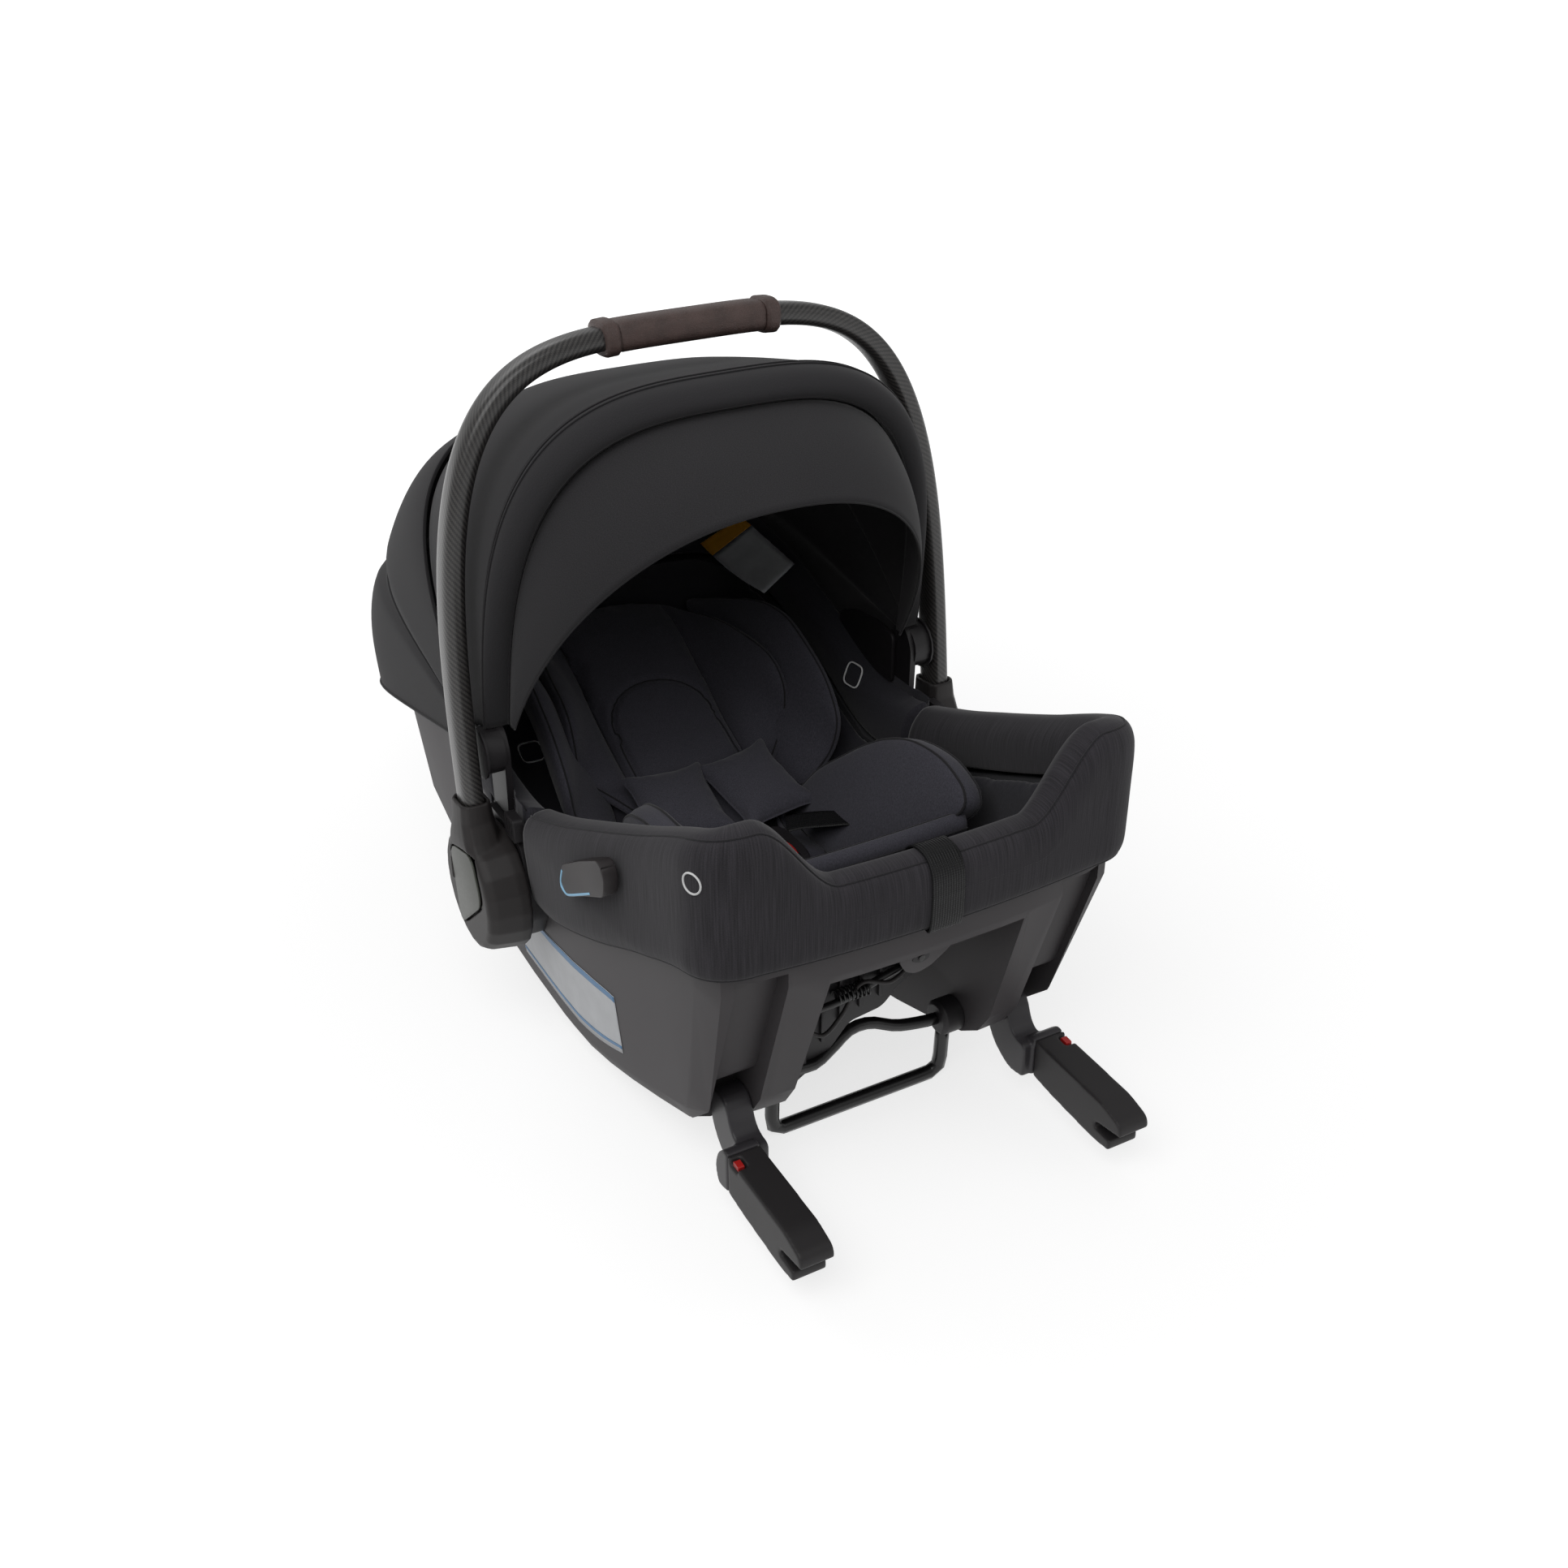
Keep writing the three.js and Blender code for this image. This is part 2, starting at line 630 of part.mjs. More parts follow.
// two chest pads lie over the shoulder straps and meet at the middle
function shoulderPad() {
  const loops = [0, 0.12, 0.5, 0.88, 1].map((share, k) => {
    const y = lerp(-22, 66, share);
    const swell = [0.55, 0.9, 1, 0.9, 0.55][k];
    return roundedLoop(30, 8 * swell, 14, 4).map(([x, up]) => (
      V(34 + x, y, onSeat(y, strapLift + 8) + up)));
  });
  return cut(loft(loops), shoulderStrap(gap));
}

const buckleY = -98;
const buckleLift = 28;

function buckleBody() {
  const z = seatLine(buckleY) + buckleLift;
  const outline = roundedLoop(25, 31, 20, 5);
  const level = (height, share) => outline.map(([x, y]) => V(x * share, buckleY + y * share, z + height));
  const shellOf = loft([level(0, 0.94), level(3, 1), level(15, 1), level(19, 0.9)]);
  return cut(shellOf, block(-14, 14, buckleY - 24, buckleY + 2, z + 12, z + 30));
}

function buckleButton() {
  const z = seatLine(buckleY) + buckleLift;
  const outline = roundedLoop(14 - gap, 13 - gap, 12, 6);
  const level = (height, share) => outline.map(([x, y]) => (
    V(x * share, buckleY - 11 + y * share, z + height)));
  return loft([level(15.3, 1), level(20, 1), level(21, 0.9)]);
}

function buckleTongue() {
  const z = seatLine(buckleY) + buckleLift + 7;
  return block(3, 30, buckleY + 31.4, buckleY + 34, z - 2, z + 2);
}

const crotchY = buckleY - 31 - gap - webbing / 2;
const crotchStrap = () => onPad(strap([-padSink, 12, 26, 38].map(up => [0, crotchY, up]), 17));
const crotchPad = () => onPad(cushion(-178, -138, () => 30, 12 + padSink, -padSink, 5, 12));
function hipStrap(grow = 0) {
  return strap([[93, -96, 44], [72, -84, 46], [50, -66, 42], [35, -58, 38]], 11, false, grow);
}

// hip bolster: a plump pad against the side of the bowl, as [y, x, z, half thickness, half height]
const bolsterForm = [
  [-196, 138, 222, 6, 12], [-184, 134, 216, 17, 30], [-160, 127, 206, 25, 45],
  [-122, 117, 196, 29, 55], [-80, 110, 186, 27, 52], [-44, 104, 176, 21, 38], [-26, 101, 168, 9, 18],
];
const bolsterLean = 0.28;

function hipBolster() {
  const loops = bolsterForm.map(([y, x, z, thick, tall]) => (
    roundedLoop(thick, tall, 14, 2.5).map(([across, up]) => V(x + across + up * bolsterLean, y, z + up))));
  const end = ([y, x, z], off) => [V(x, y + off, z)];
  const pad = loft([end(bolsterForm[0], -3), ...loops, end(bolsterForm.at(-1), 4)]);
  return cut(onPad(pad), hipStrap(gap));
}

// ---------------------------------------------------------------- handle

const tilt = rad(handleTiltDeg);

// centre line of the arch; share 0 and 1 lie at the hubs
function archPoint(angle, offset = 0) {
  const [c, s] = [Math.cos(angle), Math.sin(angle)];
  const x = (handleHalf + offset) * Math.sign(c) * Math.abs(c) ** (2 / handleSquareness);
  const rise = (handleHeight + offset) * Math.abs(s) ** (2 / handleSquareness);
  return V(x, hubY + rise * Math.sin(tilt), hubZ + rise * Math.cos(tilt));
}

// arch angle at which the centre line has risen so far above the hub axis
const angleAtRise = rise => Math.asin((rise / handleHeight) ** (handleSquareness / 2));
// arch angle at which the centre line lies so far from the middle
const angleAtX = x => Math.acos((x / handleHalf) ** (handleSquareness / 2));

const tubeSection = [
  [1, 0.55], [0.8, 1], [0, 1], [-0.8, 1], [-1, 0.55],
  [-1, -0.55], [-0.8, -1], [0, -1], [0.8, -1], [1, -0.55],
];

// section swept along the arch between two angles; grow thickens it all round
const tubeSteps = 32;

function archSweep(from, to, steps, grow) {
  const across = V(0, Math.cos(tilt), -Math.sin(tilt));
  const loops = Array.from({ length: steps + 1 }, (_, k) => {
    const angle = lerp(from, to, k / steps);
    const p = archPoint(angle);
    const ahead = archPoint(Math.min(angle + 0.004, Math.PI - 1e-6));
    const along = ahead.sub(archPoint(Math.max(angle - 0.004, 1e-6))).normalize();
    const outward = along.clone().cross(across).normalize();
    return tubeSection.map(([a, b]) => p.clone()
      .addScaledVector(across, a * (tubeDepth / 2 + grow))
      .addScaledVector(outward, b * (tubeThick / 2 + grow)));
  });
  return loft(loops);
}

const tubeStart = angleAtRise(collarTop - socketDepth);

function handleTube() {
  return archSweep(tubeStart, Math.PI - tubeStart, tubeSteps, 0);
}

const tubeRoom = archSweep(tubeStart, Math.PI - tubeStart, tubeSteps, gap);

function sleeve(fromX, toX, skin, steps) {
  const [from, to] = [angleAtX(Math.abs(fromX)), angleAtX(Math.abs(toX))];
  const start = fromX < 0 ? Math.PI - from : from;
  const end = toX < 0 ? Math.PI - to : to;
  return cut(archSweep(start, end, steps, gap + skin), tubeRoom);
}

const handleGrip = () => sleeve(gripHalf, -gripHalf, gripSkin, 8);
const gripCuff = () => sleeve(gripHalf + gap + cuffLength, gripHalf + gap, cuffSkin, 2);

const buttonOutline = grow => [
  [hubY - 27 - grow, hubZ + 4, 9], [hubY - 18, hubZ + 36 + grow, 9], [hubY + 22 + grow, hubZ + 22, 9],
  [hubY + 15, hubZ - 32 - grow, 9],
];

function handleHub() {
  const drum = turnedX([
    [hubInnerX, 0], [hubInnerX, hubInnerRadius], [hubInnerX + 9, hubInnerRadius],
    [hubOuterX - 7, hubOuterRadius + 1.5], [hubOuterX - 1.5, hubOuterRadius - 4],
    [hubOuterX, hubOuterRadius - 9], [hubOuterX, 0],
  ], hubY, hubZ, 20);
  const levels = [[0, 33, 17], [46, 24, 16], [64, 18, 14.5], [collarTop, 17.5, 13]];
  const neck = loft(levels.map(([rise, halfY, halfX]) => {
    const middle = V(handleHalf, hubY + rise * Math.sin(tilt), hubZ + rise * Math.cos(tilt));
    return roundedLoop(halfX, halfY, 16, 4).map(([x, y]) => (
      middle.clone().add(V(x, y * Math.cos(tilt), -y * Math.sin(tilt)))));
  }));
  const socket = archSweep(tubeStart - 0.004, tubeStart + 0.4, 5, gap);
  return cut(join(drum, neck), socket, plateX(buttonOutline(gap), hubOuterX - 7, hubOuterX + 5));
}

function handleButton() {
  return plateX(buttonOutline(0), hubOuterX - 2.5, hubOuterX + 1.5);
}

// ---------------------------------------------------------------- canopy

// reach of a panel from the pin axis and squareness of its arch, against the turn in degrees
// the front gore is stretched straight from the brim to its rear bow
const frontReach = turn => {
  const at = (degrees, reach) => P(Math.sin(rad(degrees)), Math.cos(rad(degrees))).multiplyScalar(reach);
  const first = at(brimRearTurn, bowReach);
  const along = at(frontRearTurn, bowReach - 3).sub(first);
  return first.cross(along) / at(turn, 1).cross(along);
};
const middleReach = profile([[frontRearTurn, bowReach + 0.5], [middleRearTurn, bowReach + 4]]);
const rearStart = bowReach + 8;
const rearReach = profile([
  [middleRearTurn, rearStart], [60, lerp(rearStart, humpReach, 0.25)], [75, lerp(rearStart, humpReach, 0.6)],
  [95, lerp(rearStart, humpReach, 0.95)], [rearTurn, humpReach],
]);
const drapeReach = profile([[drapeTurn, bowReach - 39], [brimTurn, bowReach - 23]]);
const frontSquare = () => 2.95;
const brimReach = () => bowReach;
const middleSquare = () => 3;
const rearSquare = profile([[middleRearTurn, 3.1], [75, 4.6], [95, 8.5], [rearTurn, 9]]);
const drapeSquare = profile([[drapeTurn, 2.25], [brimTurn, 2.8]]);

// a gore of the canopy between two turns, carried round the pins
function gore(from, to, half, reach, square, thick, steps, columns = 16) {
  const grid = inset => Array.from({ length: steps + 1 }, (_, r) => {
    const turn = lerp(from, to, r / steps);
    const [a, b, n] = [half - inset, reach(turn) - inset, square(turn)];
    const startAngle = Math.asin(((pinRadius + 0.4) / b) ** (n / 2));
    return Array.from({ length: columns + 1 }, (_, c) => {
      const angle = lerp(startAngle, Math.PI - startAngle, c / columns);
      const [cos, sin] = [Math.cos(angle), Math.sin(angle)];
      const x = a * Math.sign(cos) * Math.abs(cos) ** (2 / n);
      const out = b * Math.abs(sin) ** (2 / n);
      return V(x, canopyY + out * Math.sin(rad(turn)), canopyZ + out * Math.cos(rad(turn)));
    });
  });
  return sheetBody(grid(0), grid(thick));
}

const canopyRear = () => gore(
  middleRearTurn + 0.5, rearTurn, rearPanelHalf, rearReach, rearSquare, panelThick, 6, 24);
const canopyMiddle = () => gore(
  frontRearTurn + 0.5, middleRearTurn, middlePanelHalf, middleReach, middleSquare, panelThick, 2);
const canopyFront = () => gore(
  brimRearTurn + 0.2, frontRearTurn, frontPanelHalf, frontReach, frontSquare, panelThick, 4);
const canopyBrim = () => gore(
  brimTurn, brimRearTurn, frontPanelHalf, brimReach, frontSquare, brimDepth, 1);
const drape = () => gore(
  drapeTurn, brimTurn + 2, frontPanelHalf - brimDepth - softGap, drapeReach, drapeSquare, panelThick, 4);

// bracket on the shell's side with the pin that the canopy turns on
function canopyMount() {
  const wallX = shellMidHalf + gap;
  const bracket = plateX([
    [canopyY - 16, 208, 3], [canopyY - 18, canopyZ + 4, 8], [canopyY - 8, canopyZ + 20, 6],
    [canopyY + 8, canopyZ + 20, 6], [canopyY + 18, canopyZ + 4, 8], [canopyY + 16, 208, 3],
  ], wallX, wallX + 5.5);
  const capX = rearPanelHalf + 0.4;
  const pin = turnedX([
    [wallX + 4, 0], [wallX + 4, pinRadius], [capX, pinRadius], [capX, pinRadius + 3],
    [capX + 1.6, pinRadius + 3], [capX + 2.2, pinRadius], [capX + 2.2, 0],
  ], canopyY, canopyZ, 16);
  return join(bracket, pin);
}

// ---------------------------------------------------------------- side fittings

// housing between the shell's side and the handle drum, with the stroller adapter slot
function hubBase() {
  const plate = plateX([
    [-48, 132, 6], [-46, 196, 8], [-34, 205, 5], [30, 205, 8], [40, 170, 14], [34, 118, 14], [8, 100, 14],
    [-26, 100, 10],
  ], shellMidHalf - 24, hubInnerX - gap);
  const slot = plateX([[-16, 90], [-16, 122, 2], [0, 122, 2], [0, 90]], hubInnerX - 9, hubInnerX + 5);
  const grown = loft([
    ...bowlRings(-softGap, rockerZ, shellBottomRadius, shellRimZ, shellFloor), [V(0, 0, crestDipZ)],
  ]);
  return cut(plate, grown, slot);
}

// ribbed push button in front of the handle leg, clear of the shell by its travel
const releaseInner = 7.5;
function releaseButton() {
  const outer = shellMidHalf + releaseInner + 8;
  const face = plateX([
    [-46, 205 + gap, 2], [-46, 226, 5], [-24, 226, 5], [-24, 205 + gap, 2],
  ], shellMidHalf + releaseInner, outer);
  const grooves = [-40, -35, -30].map(y => block(outer - 1.4, outer + 2, y - 1, y + 1, 210, 222));
  return cut(face, ...grooves);
}

const guideY = -172;

// places a moulding on the padded rim; local x runs along the wall, y up, z outward
function onCover(geometry, y, z, out) {
  const k = plan.findIndex(p => p.y > y) - 1;
  const share = (y - plan[k].y) / (plan[k + 1].y - plan[k].y);
  const n = planNormals[k].clone().lerp(planNormals[k + 1], share).normalize();
  const along = V(-n.y, n.x, 0);
  const base = wallPoint(k, z, coverThickness).lerp(wallPoint(k + 1, z, coverThickness), share)
    .add(V(n.x, n.y, 0).multiplyScalar(out));
  const frame = new THREE.Matrix4().makeBasis(along, V(0, 0, 1), V(n.x, n.y, 0)).setPosition(base);
  return geometry.applyMatrix4(frame);
}

function roundedPlate(points, depth, lift) {
  return new THREE.ExtrudeGeometry(roundedShape(points), {
    depth, steps: 1, curveSegments: 3, bevelEnabled: false,
  }).translate(0, 0, lift);
}

const guideOutline = [
  [-50, 14, 10], [-38, -1, 8], [30, -38, 8], [52, -33, 8], [37, -9, 8], [-30, 37, 8], [-51, 38, 9],
];
const guideZ = 244;
const guideSeat = 0.4;
const beltGuide = () => onCover(roundedPlate(guideOutline, 8, 0), guideY, guideZ, guideSeat);

// raised line that marks the belt path on the guide
function beltGuideMark() {
  const line = roundedPlate([
    [31, -9, 1], [47, -31, 2], [30, -34.5, 2], [-14, -9.5, 1],
    [-13, -7.5, 1], [30.5, -32, 2], [43.5, -29.5, 2], [29, -9.5, 1],
  ], 0.8, 8 + gap);
  return onCover(line, guideY, guideZ, guideSeat);
}

// webbing over the middle of the padded front
function frontStrap() {
  const crest = crestZ(0);
  const hem = hemZ(shellFrontY);
  const clear = softGap + webbing / 2;
  const line = [
    [-26 - clear, crest - 40], [-26 - clear, crest - 26], [-26 * 0.8 - clear, crest - 8],
    [-coverThickness, crest + clear], [coverThickness * 0.45 + clear, crest - 4],
    [coverThickness + clear, crest - 24], [coverThickness + clear, hem + 16], [coverThickness - 2, hem + 1],
  ].map(([out, z]) => wallPoint(0, z, out));
  const loops = line.map((p, k) => {
    const ahead = line[Math.min(k + 1, line.length - 1)].clone().sub(line[Math.max(k - 1, 0)]).normalize();
    const up = V(1, 0, 0).cross(ahead);
    return [[1, 1], [-1, 1], [-1, -1], [1, -1]].map(([a, b]) => (
      p.clone().add(V(a * 13.5, 0, 0)).addScaledVector(up, b * webbing / 2)));
  });
  return loft(loops);
}

// base release lever in the head end of the shell
function rearLever() {
  const middle = halfCount;
  const at = (x, z, out) => V(x, wallPoint(middle, z, out).y, z);
  const outer = [[-46, 166], [46, 166], [42, 134], [-42, 134]];
  return loft([
    outer.map(([x, z]) => at(x, z, softGap)),
    outer.map(([x, z]) => at(x * 0.94, lerp(150, z, 0.9), 12)),
  ]);
}

// ---------------------------------------------------------------- foot

function footBar() {
  const path = new THREE.CurvePath();
  const legTop = bossZ - bossRadius - gap;
  const bend = 12;
  const corners = [
    V(-footHalf, bossY + 4, legTop), V(-footHalf, footY, footRadius),
    V(footHalf, footY, footRadius), V(footHalf, bossY + 4, legTop),
  ];
  const toward = (a, b) => b.clone().sub(a).setLength(bend).add(a);
  path.add(new THREE.LineCurve3(corners[0], toward(corners[1], corners[0])));
  path.add(new THREE.QuadraticBezierCurve3(
    toward(corners[1], corners[0]), corners[1], toward(corners[1], corners[2])));
  path.add(new THREE.LineCurve3(toward(corners[1], corners[2]), toward(corners[2], corners[1])));
  path.add(new THREE.QuadraticBezierCurve3(
    toward(corners[2], corners[1]), corners[2], toward(corners[2], corners[3])));
  path.add(new THREE.LineCurve3(toward(corners[2], corners[3]), corners[3]));
  return bar(path, footRadius, 24, 4);
}

const bossInnerX = 69;
const footBoss = () => turnedX([
  [bossInnerX, 0], [bossInnerX, bossRadius - 3], [bossInnerX + 3, bossRadius],
  [wellBottomHalf - gap, bossRadius], [wellBottomHalf - gap, 0],
], bossY, bossZ, 20);

// cranked bar between the bosses, pressed by the foot when the seat reclines
function crossBar() {
  const end = bossInnerX - gap;
  const path = new THREE.CatmullRomCurve3([
    V(-end, bossY, bossZ), V(-end + 3, bossY, bossZ), V(-44, bossY, bossZ - 2),
    V(-26, bossY + 4, 70), V(-8, bossY + 7, 79), V(10, bossY + 7, 79),
    V(34, bossY + 3, 70), V(end - 3, bossY, bossZ), V(end, bossY, bossZ),
  ]);
  return bar(path, crossRadius, 18, 4);
}

// ---------------------------------------------------------------- anchor arms

const connectorRearY = -306;

function latchArm() {
  const neck = plateX([
    [armPivotY - 12, armPivotZ + 14, 10], [armPivotY + 12, armPivotZ + 12, 10],
    [armPivotY + 13, armPivotZ - 14, 12], [-262, 36, 12], [-286, 24, 8], [-304, 28, 2],
    [-304, 58, 4], [-286, 60, 10],
  ], bayInnerX + gap, neckOuterX);
  const housing = plateX([
    [connectorRearY + gap, 28, 1], [connectorRearY + gap, 63, 1], [-300, 64, 4],
    [-290, 56, 6], [-285, 40, 6], [-290, 24, 6],
  ], connectorInnerX, connectorOuterX);
  return join(neck, housing);
}

// anchor connector with its open mouth at the tip
function latchConnector() {
  const box = plateX([
    [connectorRearY, 28, 1], [connectorRearY, 63, 1], [-392, 61, 6], [-414, 55, 10],
    [-416, 45, 4], [-412, 44.5, 0.5], [-386, 40, 3], [-385, 34, 2],
    [-404, 33, 0.5], [-405, 24, 4], [-384, 22, 4], [-330, 25, 8],
  ], connectorInnerX, connectorOuterX);
  const recess = plateX([
    [-310, 58], [-310, 70], [-322, 70], [-322, 58],
  ], connectorOuterX - 9, connectorOuterX + 2);
  const jawSlot = block(134, 144, -388, -357, 26, 51);
  return cut(box, recess, jawSlot);
}

const latchIndicator = () => plateX([
  [-310.3, 58 + gap], [-310.3, 62.6, 1.5], [-321.7, 62.2, 1.5], [-321.7, 58 + gap],
], connectorOuterX - 8.7, connectorOuterX - 0.3);

// hook that closes over the anchor bar
const latchJaw = () => plateX([
  [-361, 30, 3], [-361, 44, 3], [-374, 48, 4], [-384.5, 47, 2], [-384, 41, 1], [-376, 38, 3], [-378, 30, 2],
], 134 + gap, 144 - gap);

// ---------------------------------------------------------------- assembly

const finishes = {
  shellPlastic: { color: '#2a2526', roughness: 0.55, metalness: 0 },
  darkPlastic: { color: '#1c1a1b', roughness: 0.5, metalness: 0 },
  hubPlastic: { color: '#2b2524', roughness: 0.5, metalness: 0 },
  oliveCap: { color: '#4a4c44', roughness: 0.4, metalness: 0 },
  carbonTube: { color: '#3a3532', roughness: 0.4, metalness: 0.1 },
  leather: { color: '#2c1f1b', roughness: 0.6, metalness: 0 },
  fabric: { color: '#29272b', roughness: 0.95, metalness: 0 },
  liningFabric: { color: '#1f1d22', roughness: 0.95, metalness: 0 },
  canopyFabric: { color: '#232223', roughness: 0.9, metalness: 0 },
  foam: { color: '#3a3a3c', roughness: 0.9, metalness: 0 },
  web: { color: '#141414', roughness: 0.6, metalness: 0 },
  steel: { color: '#131313', roughness: 0.25, metalness: 0.6 },
  markBlue: { color: '#8fc3e8', roughness: 0.5, metalness: 0 },
  signalRed: { color: '#8f1d1d', roughness: 0.4, metalness: 0 },
};

const group = new THREE.Group();

function add(name, geometry, finish) {
  const mesh = new THREE.Mesh(geometry, new THREE.MeshStandardMaterial(finishes[finish]));
  mesh.name = name;
  group.add(mesh);
}

// one piece on each side: right is +X, left is its mirror image
function addPair(name, geometry, finish) {
  add(`${name}_right`, geometry, finish);
  add(`${name}_left`, mirrored(geometry), finish);
}

add('shell', carrierShell(), 'shellPlastic');
add('foam_liner', foamLiner(), 'foam');
add('seat_pad', seatPad(), 'liningFabric');
add('seat_cover', seatCover(), 'fabric');
add('head_cover', headCover(), 'liningFabric');
add('infant_insert', infantInsert(), 'fabric');
add('head_support', headSupport(), 'fabric');
addPair('hip_bolster', hipBolster(), 'fabric');
addPair('shoulder_strap', shoulderStrap(), 'web');
addPair('shoulder_pad', shoulderPad(), 'fabric');
addPair('hip_strap', hipStrap(), 'web');
addPair('buckle_tongue', buckleTongue(), 'darkPlastic');
add('buckle_body', buckleBody(), 'darkPlastic');
add('buckle_button', buckleButton(), 'signalRed');
add('crotch_strap', crotchStrap(), 'web');
add('crotch_pad', crotchPad(), 'fabric');
add('front_strap', frontStrap(), 'web');
add('rear_lever', rearLever(), 'darkPlastic');

addPair('hub_base', hubBase(), 'darkPlastic');
addPair('release_button', releaseButton(), 'darkPlastic');
addPair('belt_guide', beltGuide(), 'shellPlastic');
addPair('belt_guide_mark', beltGuideMark(), 'markBlue');

addPair('handle_hub', handleHub(), 'hubPlastic');
addPair('handle_button', handleButton(), 'oliveCap');
add('handle_tube', handleTube(), 'carbonTube');
add('handle_grip', handleGrip(), 'leather');
addPair('grip_cuff', gripCuff(), 'leather');

addPair('canopy_mount', canopyMount(), 'darkPlastic');
add('canopy_rear', canopyRear(), 'canopyFabric');
add('canopy_middle', canopyMiddle(), 'canopyFabric');
add('canopy_front', canopyFront(), 'canopyFabric');
add('canopy_brim', canopyBrim(), 'canopyFabric');
add('drape', drape(), 'canopyFabric');

add('foot_bar', footBar(), 'steel');
add('foot_cross_bar', crossBar(), 'steel');
addPair('foot_boss', footBoss(), 'darkPlastic');

addPair('latch_arm', latchArm(), 'darkPlastic');
addPair('latch_connector', latchConnector(), 'darkPlastic');
addPair('latch_jaw', latchJaw(), 'steel');
addPair('latch_indicator', latchIndicator(), 'signalRed');

export default group;
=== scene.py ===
# Infant car seat: the looks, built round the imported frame. Metres in Blender, millimetres in the forms.
import json
import math

import bmesh
import bpy
import numpy as np
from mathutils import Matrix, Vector
from mathutils.bvhtree import BVHTree

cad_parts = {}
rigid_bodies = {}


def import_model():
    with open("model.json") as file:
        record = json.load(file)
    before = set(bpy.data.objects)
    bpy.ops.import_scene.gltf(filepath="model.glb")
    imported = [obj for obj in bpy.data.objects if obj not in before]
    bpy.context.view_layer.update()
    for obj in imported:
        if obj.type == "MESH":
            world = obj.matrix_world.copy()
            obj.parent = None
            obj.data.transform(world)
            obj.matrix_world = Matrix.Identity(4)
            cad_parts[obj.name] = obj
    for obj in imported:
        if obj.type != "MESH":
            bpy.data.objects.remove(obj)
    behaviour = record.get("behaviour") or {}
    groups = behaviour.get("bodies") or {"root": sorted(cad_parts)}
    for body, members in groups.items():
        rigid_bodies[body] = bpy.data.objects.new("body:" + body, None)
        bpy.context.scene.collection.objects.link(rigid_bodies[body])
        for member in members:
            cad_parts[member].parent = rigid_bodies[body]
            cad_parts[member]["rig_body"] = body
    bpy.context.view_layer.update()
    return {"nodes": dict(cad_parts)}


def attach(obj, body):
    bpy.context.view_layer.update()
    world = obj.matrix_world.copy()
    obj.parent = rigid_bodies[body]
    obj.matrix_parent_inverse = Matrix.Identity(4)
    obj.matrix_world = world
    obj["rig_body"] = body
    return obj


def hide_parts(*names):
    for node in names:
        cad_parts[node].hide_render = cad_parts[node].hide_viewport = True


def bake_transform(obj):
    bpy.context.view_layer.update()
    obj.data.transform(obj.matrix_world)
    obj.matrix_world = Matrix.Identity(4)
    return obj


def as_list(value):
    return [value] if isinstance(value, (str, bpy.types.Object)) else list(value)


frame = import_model()
nodes = frame["nodes"]
scene = bpy.context.scene
print("frame loaded:", len(nodes), "nodes")

# camera, light and floor

studio = {
    "eye": (-0.58617, -1.17117, 0.93964),
    "back": (-0.42049, -0.75579, 0.50196),
    "lens": 40.02,
    "worldLight": 0.42,
    "floorAlbedo": 0.4,
    "floorGlow": 0.73,
    "farGlow": 1.0,
    "glowNear": 0.45,
    "glowFar": 2.2,
    "keyPower": 37.0,
    "fillPower": 4.5,
    "backPower": 12.0,
}


def addNode(tree, kind, settings=None, **sockets):
    made = tree.nodes.new(kind)
    for key, value in (settings or {}).items():
        setattr(made, key, value)
    for key, value in sockets.items():
        socket = made.inputs[int(key[1:])] if key[0] == "i" and key[1:].isdigit() else made.inputs[key]
        if isinstance(value, bpy.types.NodeSocket):
            tree.links.new(value, socket)
        else:
            socket.default_value = value
    return made


def mathNode(tree, operation, *values):
    sockets = {f"i{number}": value for number, value in enumerate(values)}
    return addNode(tree, "ShaderNodeMath", {"operation": operation}, **sockets).outputs[0]


def makeCamera():
    data = bpy.data.cameras.new("camera")
    data.lens = studio["lens"]
    data.sensor_width = 36
    data.clip_start = 0.05
    eye = bpy.data.objects.new("camera", data)
    scene.collection.objects.link(eye)
    eye.location = studio["eye"]
    eye.rotation_mode = "QUATERNION"
    eye.rotation_quaternion = (-Vector(studio["back"])).to_track_quat("-Z", "Y")
    scene.camera = eye


def makeLight(name, place, target, size, power):
    data = bpy.data.lights.new(name, "AREA")
    data.shape = "RECTANGLE"
    data.size, data.size_y = size
    data.energy = power
    lamp = bpy.data.objects.new(name, data)
    scene.collection.objects.link(lamp)
    lamp.location = place
    lamp.rotation_euler = (Vector(target) - Vector(place)).to_track_quat("-Z", "Y").to_euler()


def makeWorld():
    world = bpy.data.worlds.new("studioWorld")
    world.use_nodes = True
    tree = world.node_tree
    tree.nodes.clear()
    path = addNode(tree, "ShaderNodeLightPath").outputs
    seen = mathNode(tree, "MAXIMUM", path["Is Camera Ray"], path["Is Transmission Ray"])
    lit = addNode(tree, "ShaderNodeBackground", Color=(1, 1, 1, 1), Strength=studio["worldLight"])
    plain = addNode(tree, "ShaderNodeBackground", Color=(1, 1, 1, 1), Strength=1.0)
    mix = addNode(tree, "ShaderNodeMixShader", i0=seen, i1=lit.outputs[0], i2=plain.outputs[0])
    out = addNode(tree, "ShaderNodeOutputWorld")
    tree.links.new(mix.outputs[0], out.inputs[0])
    scene.world = world


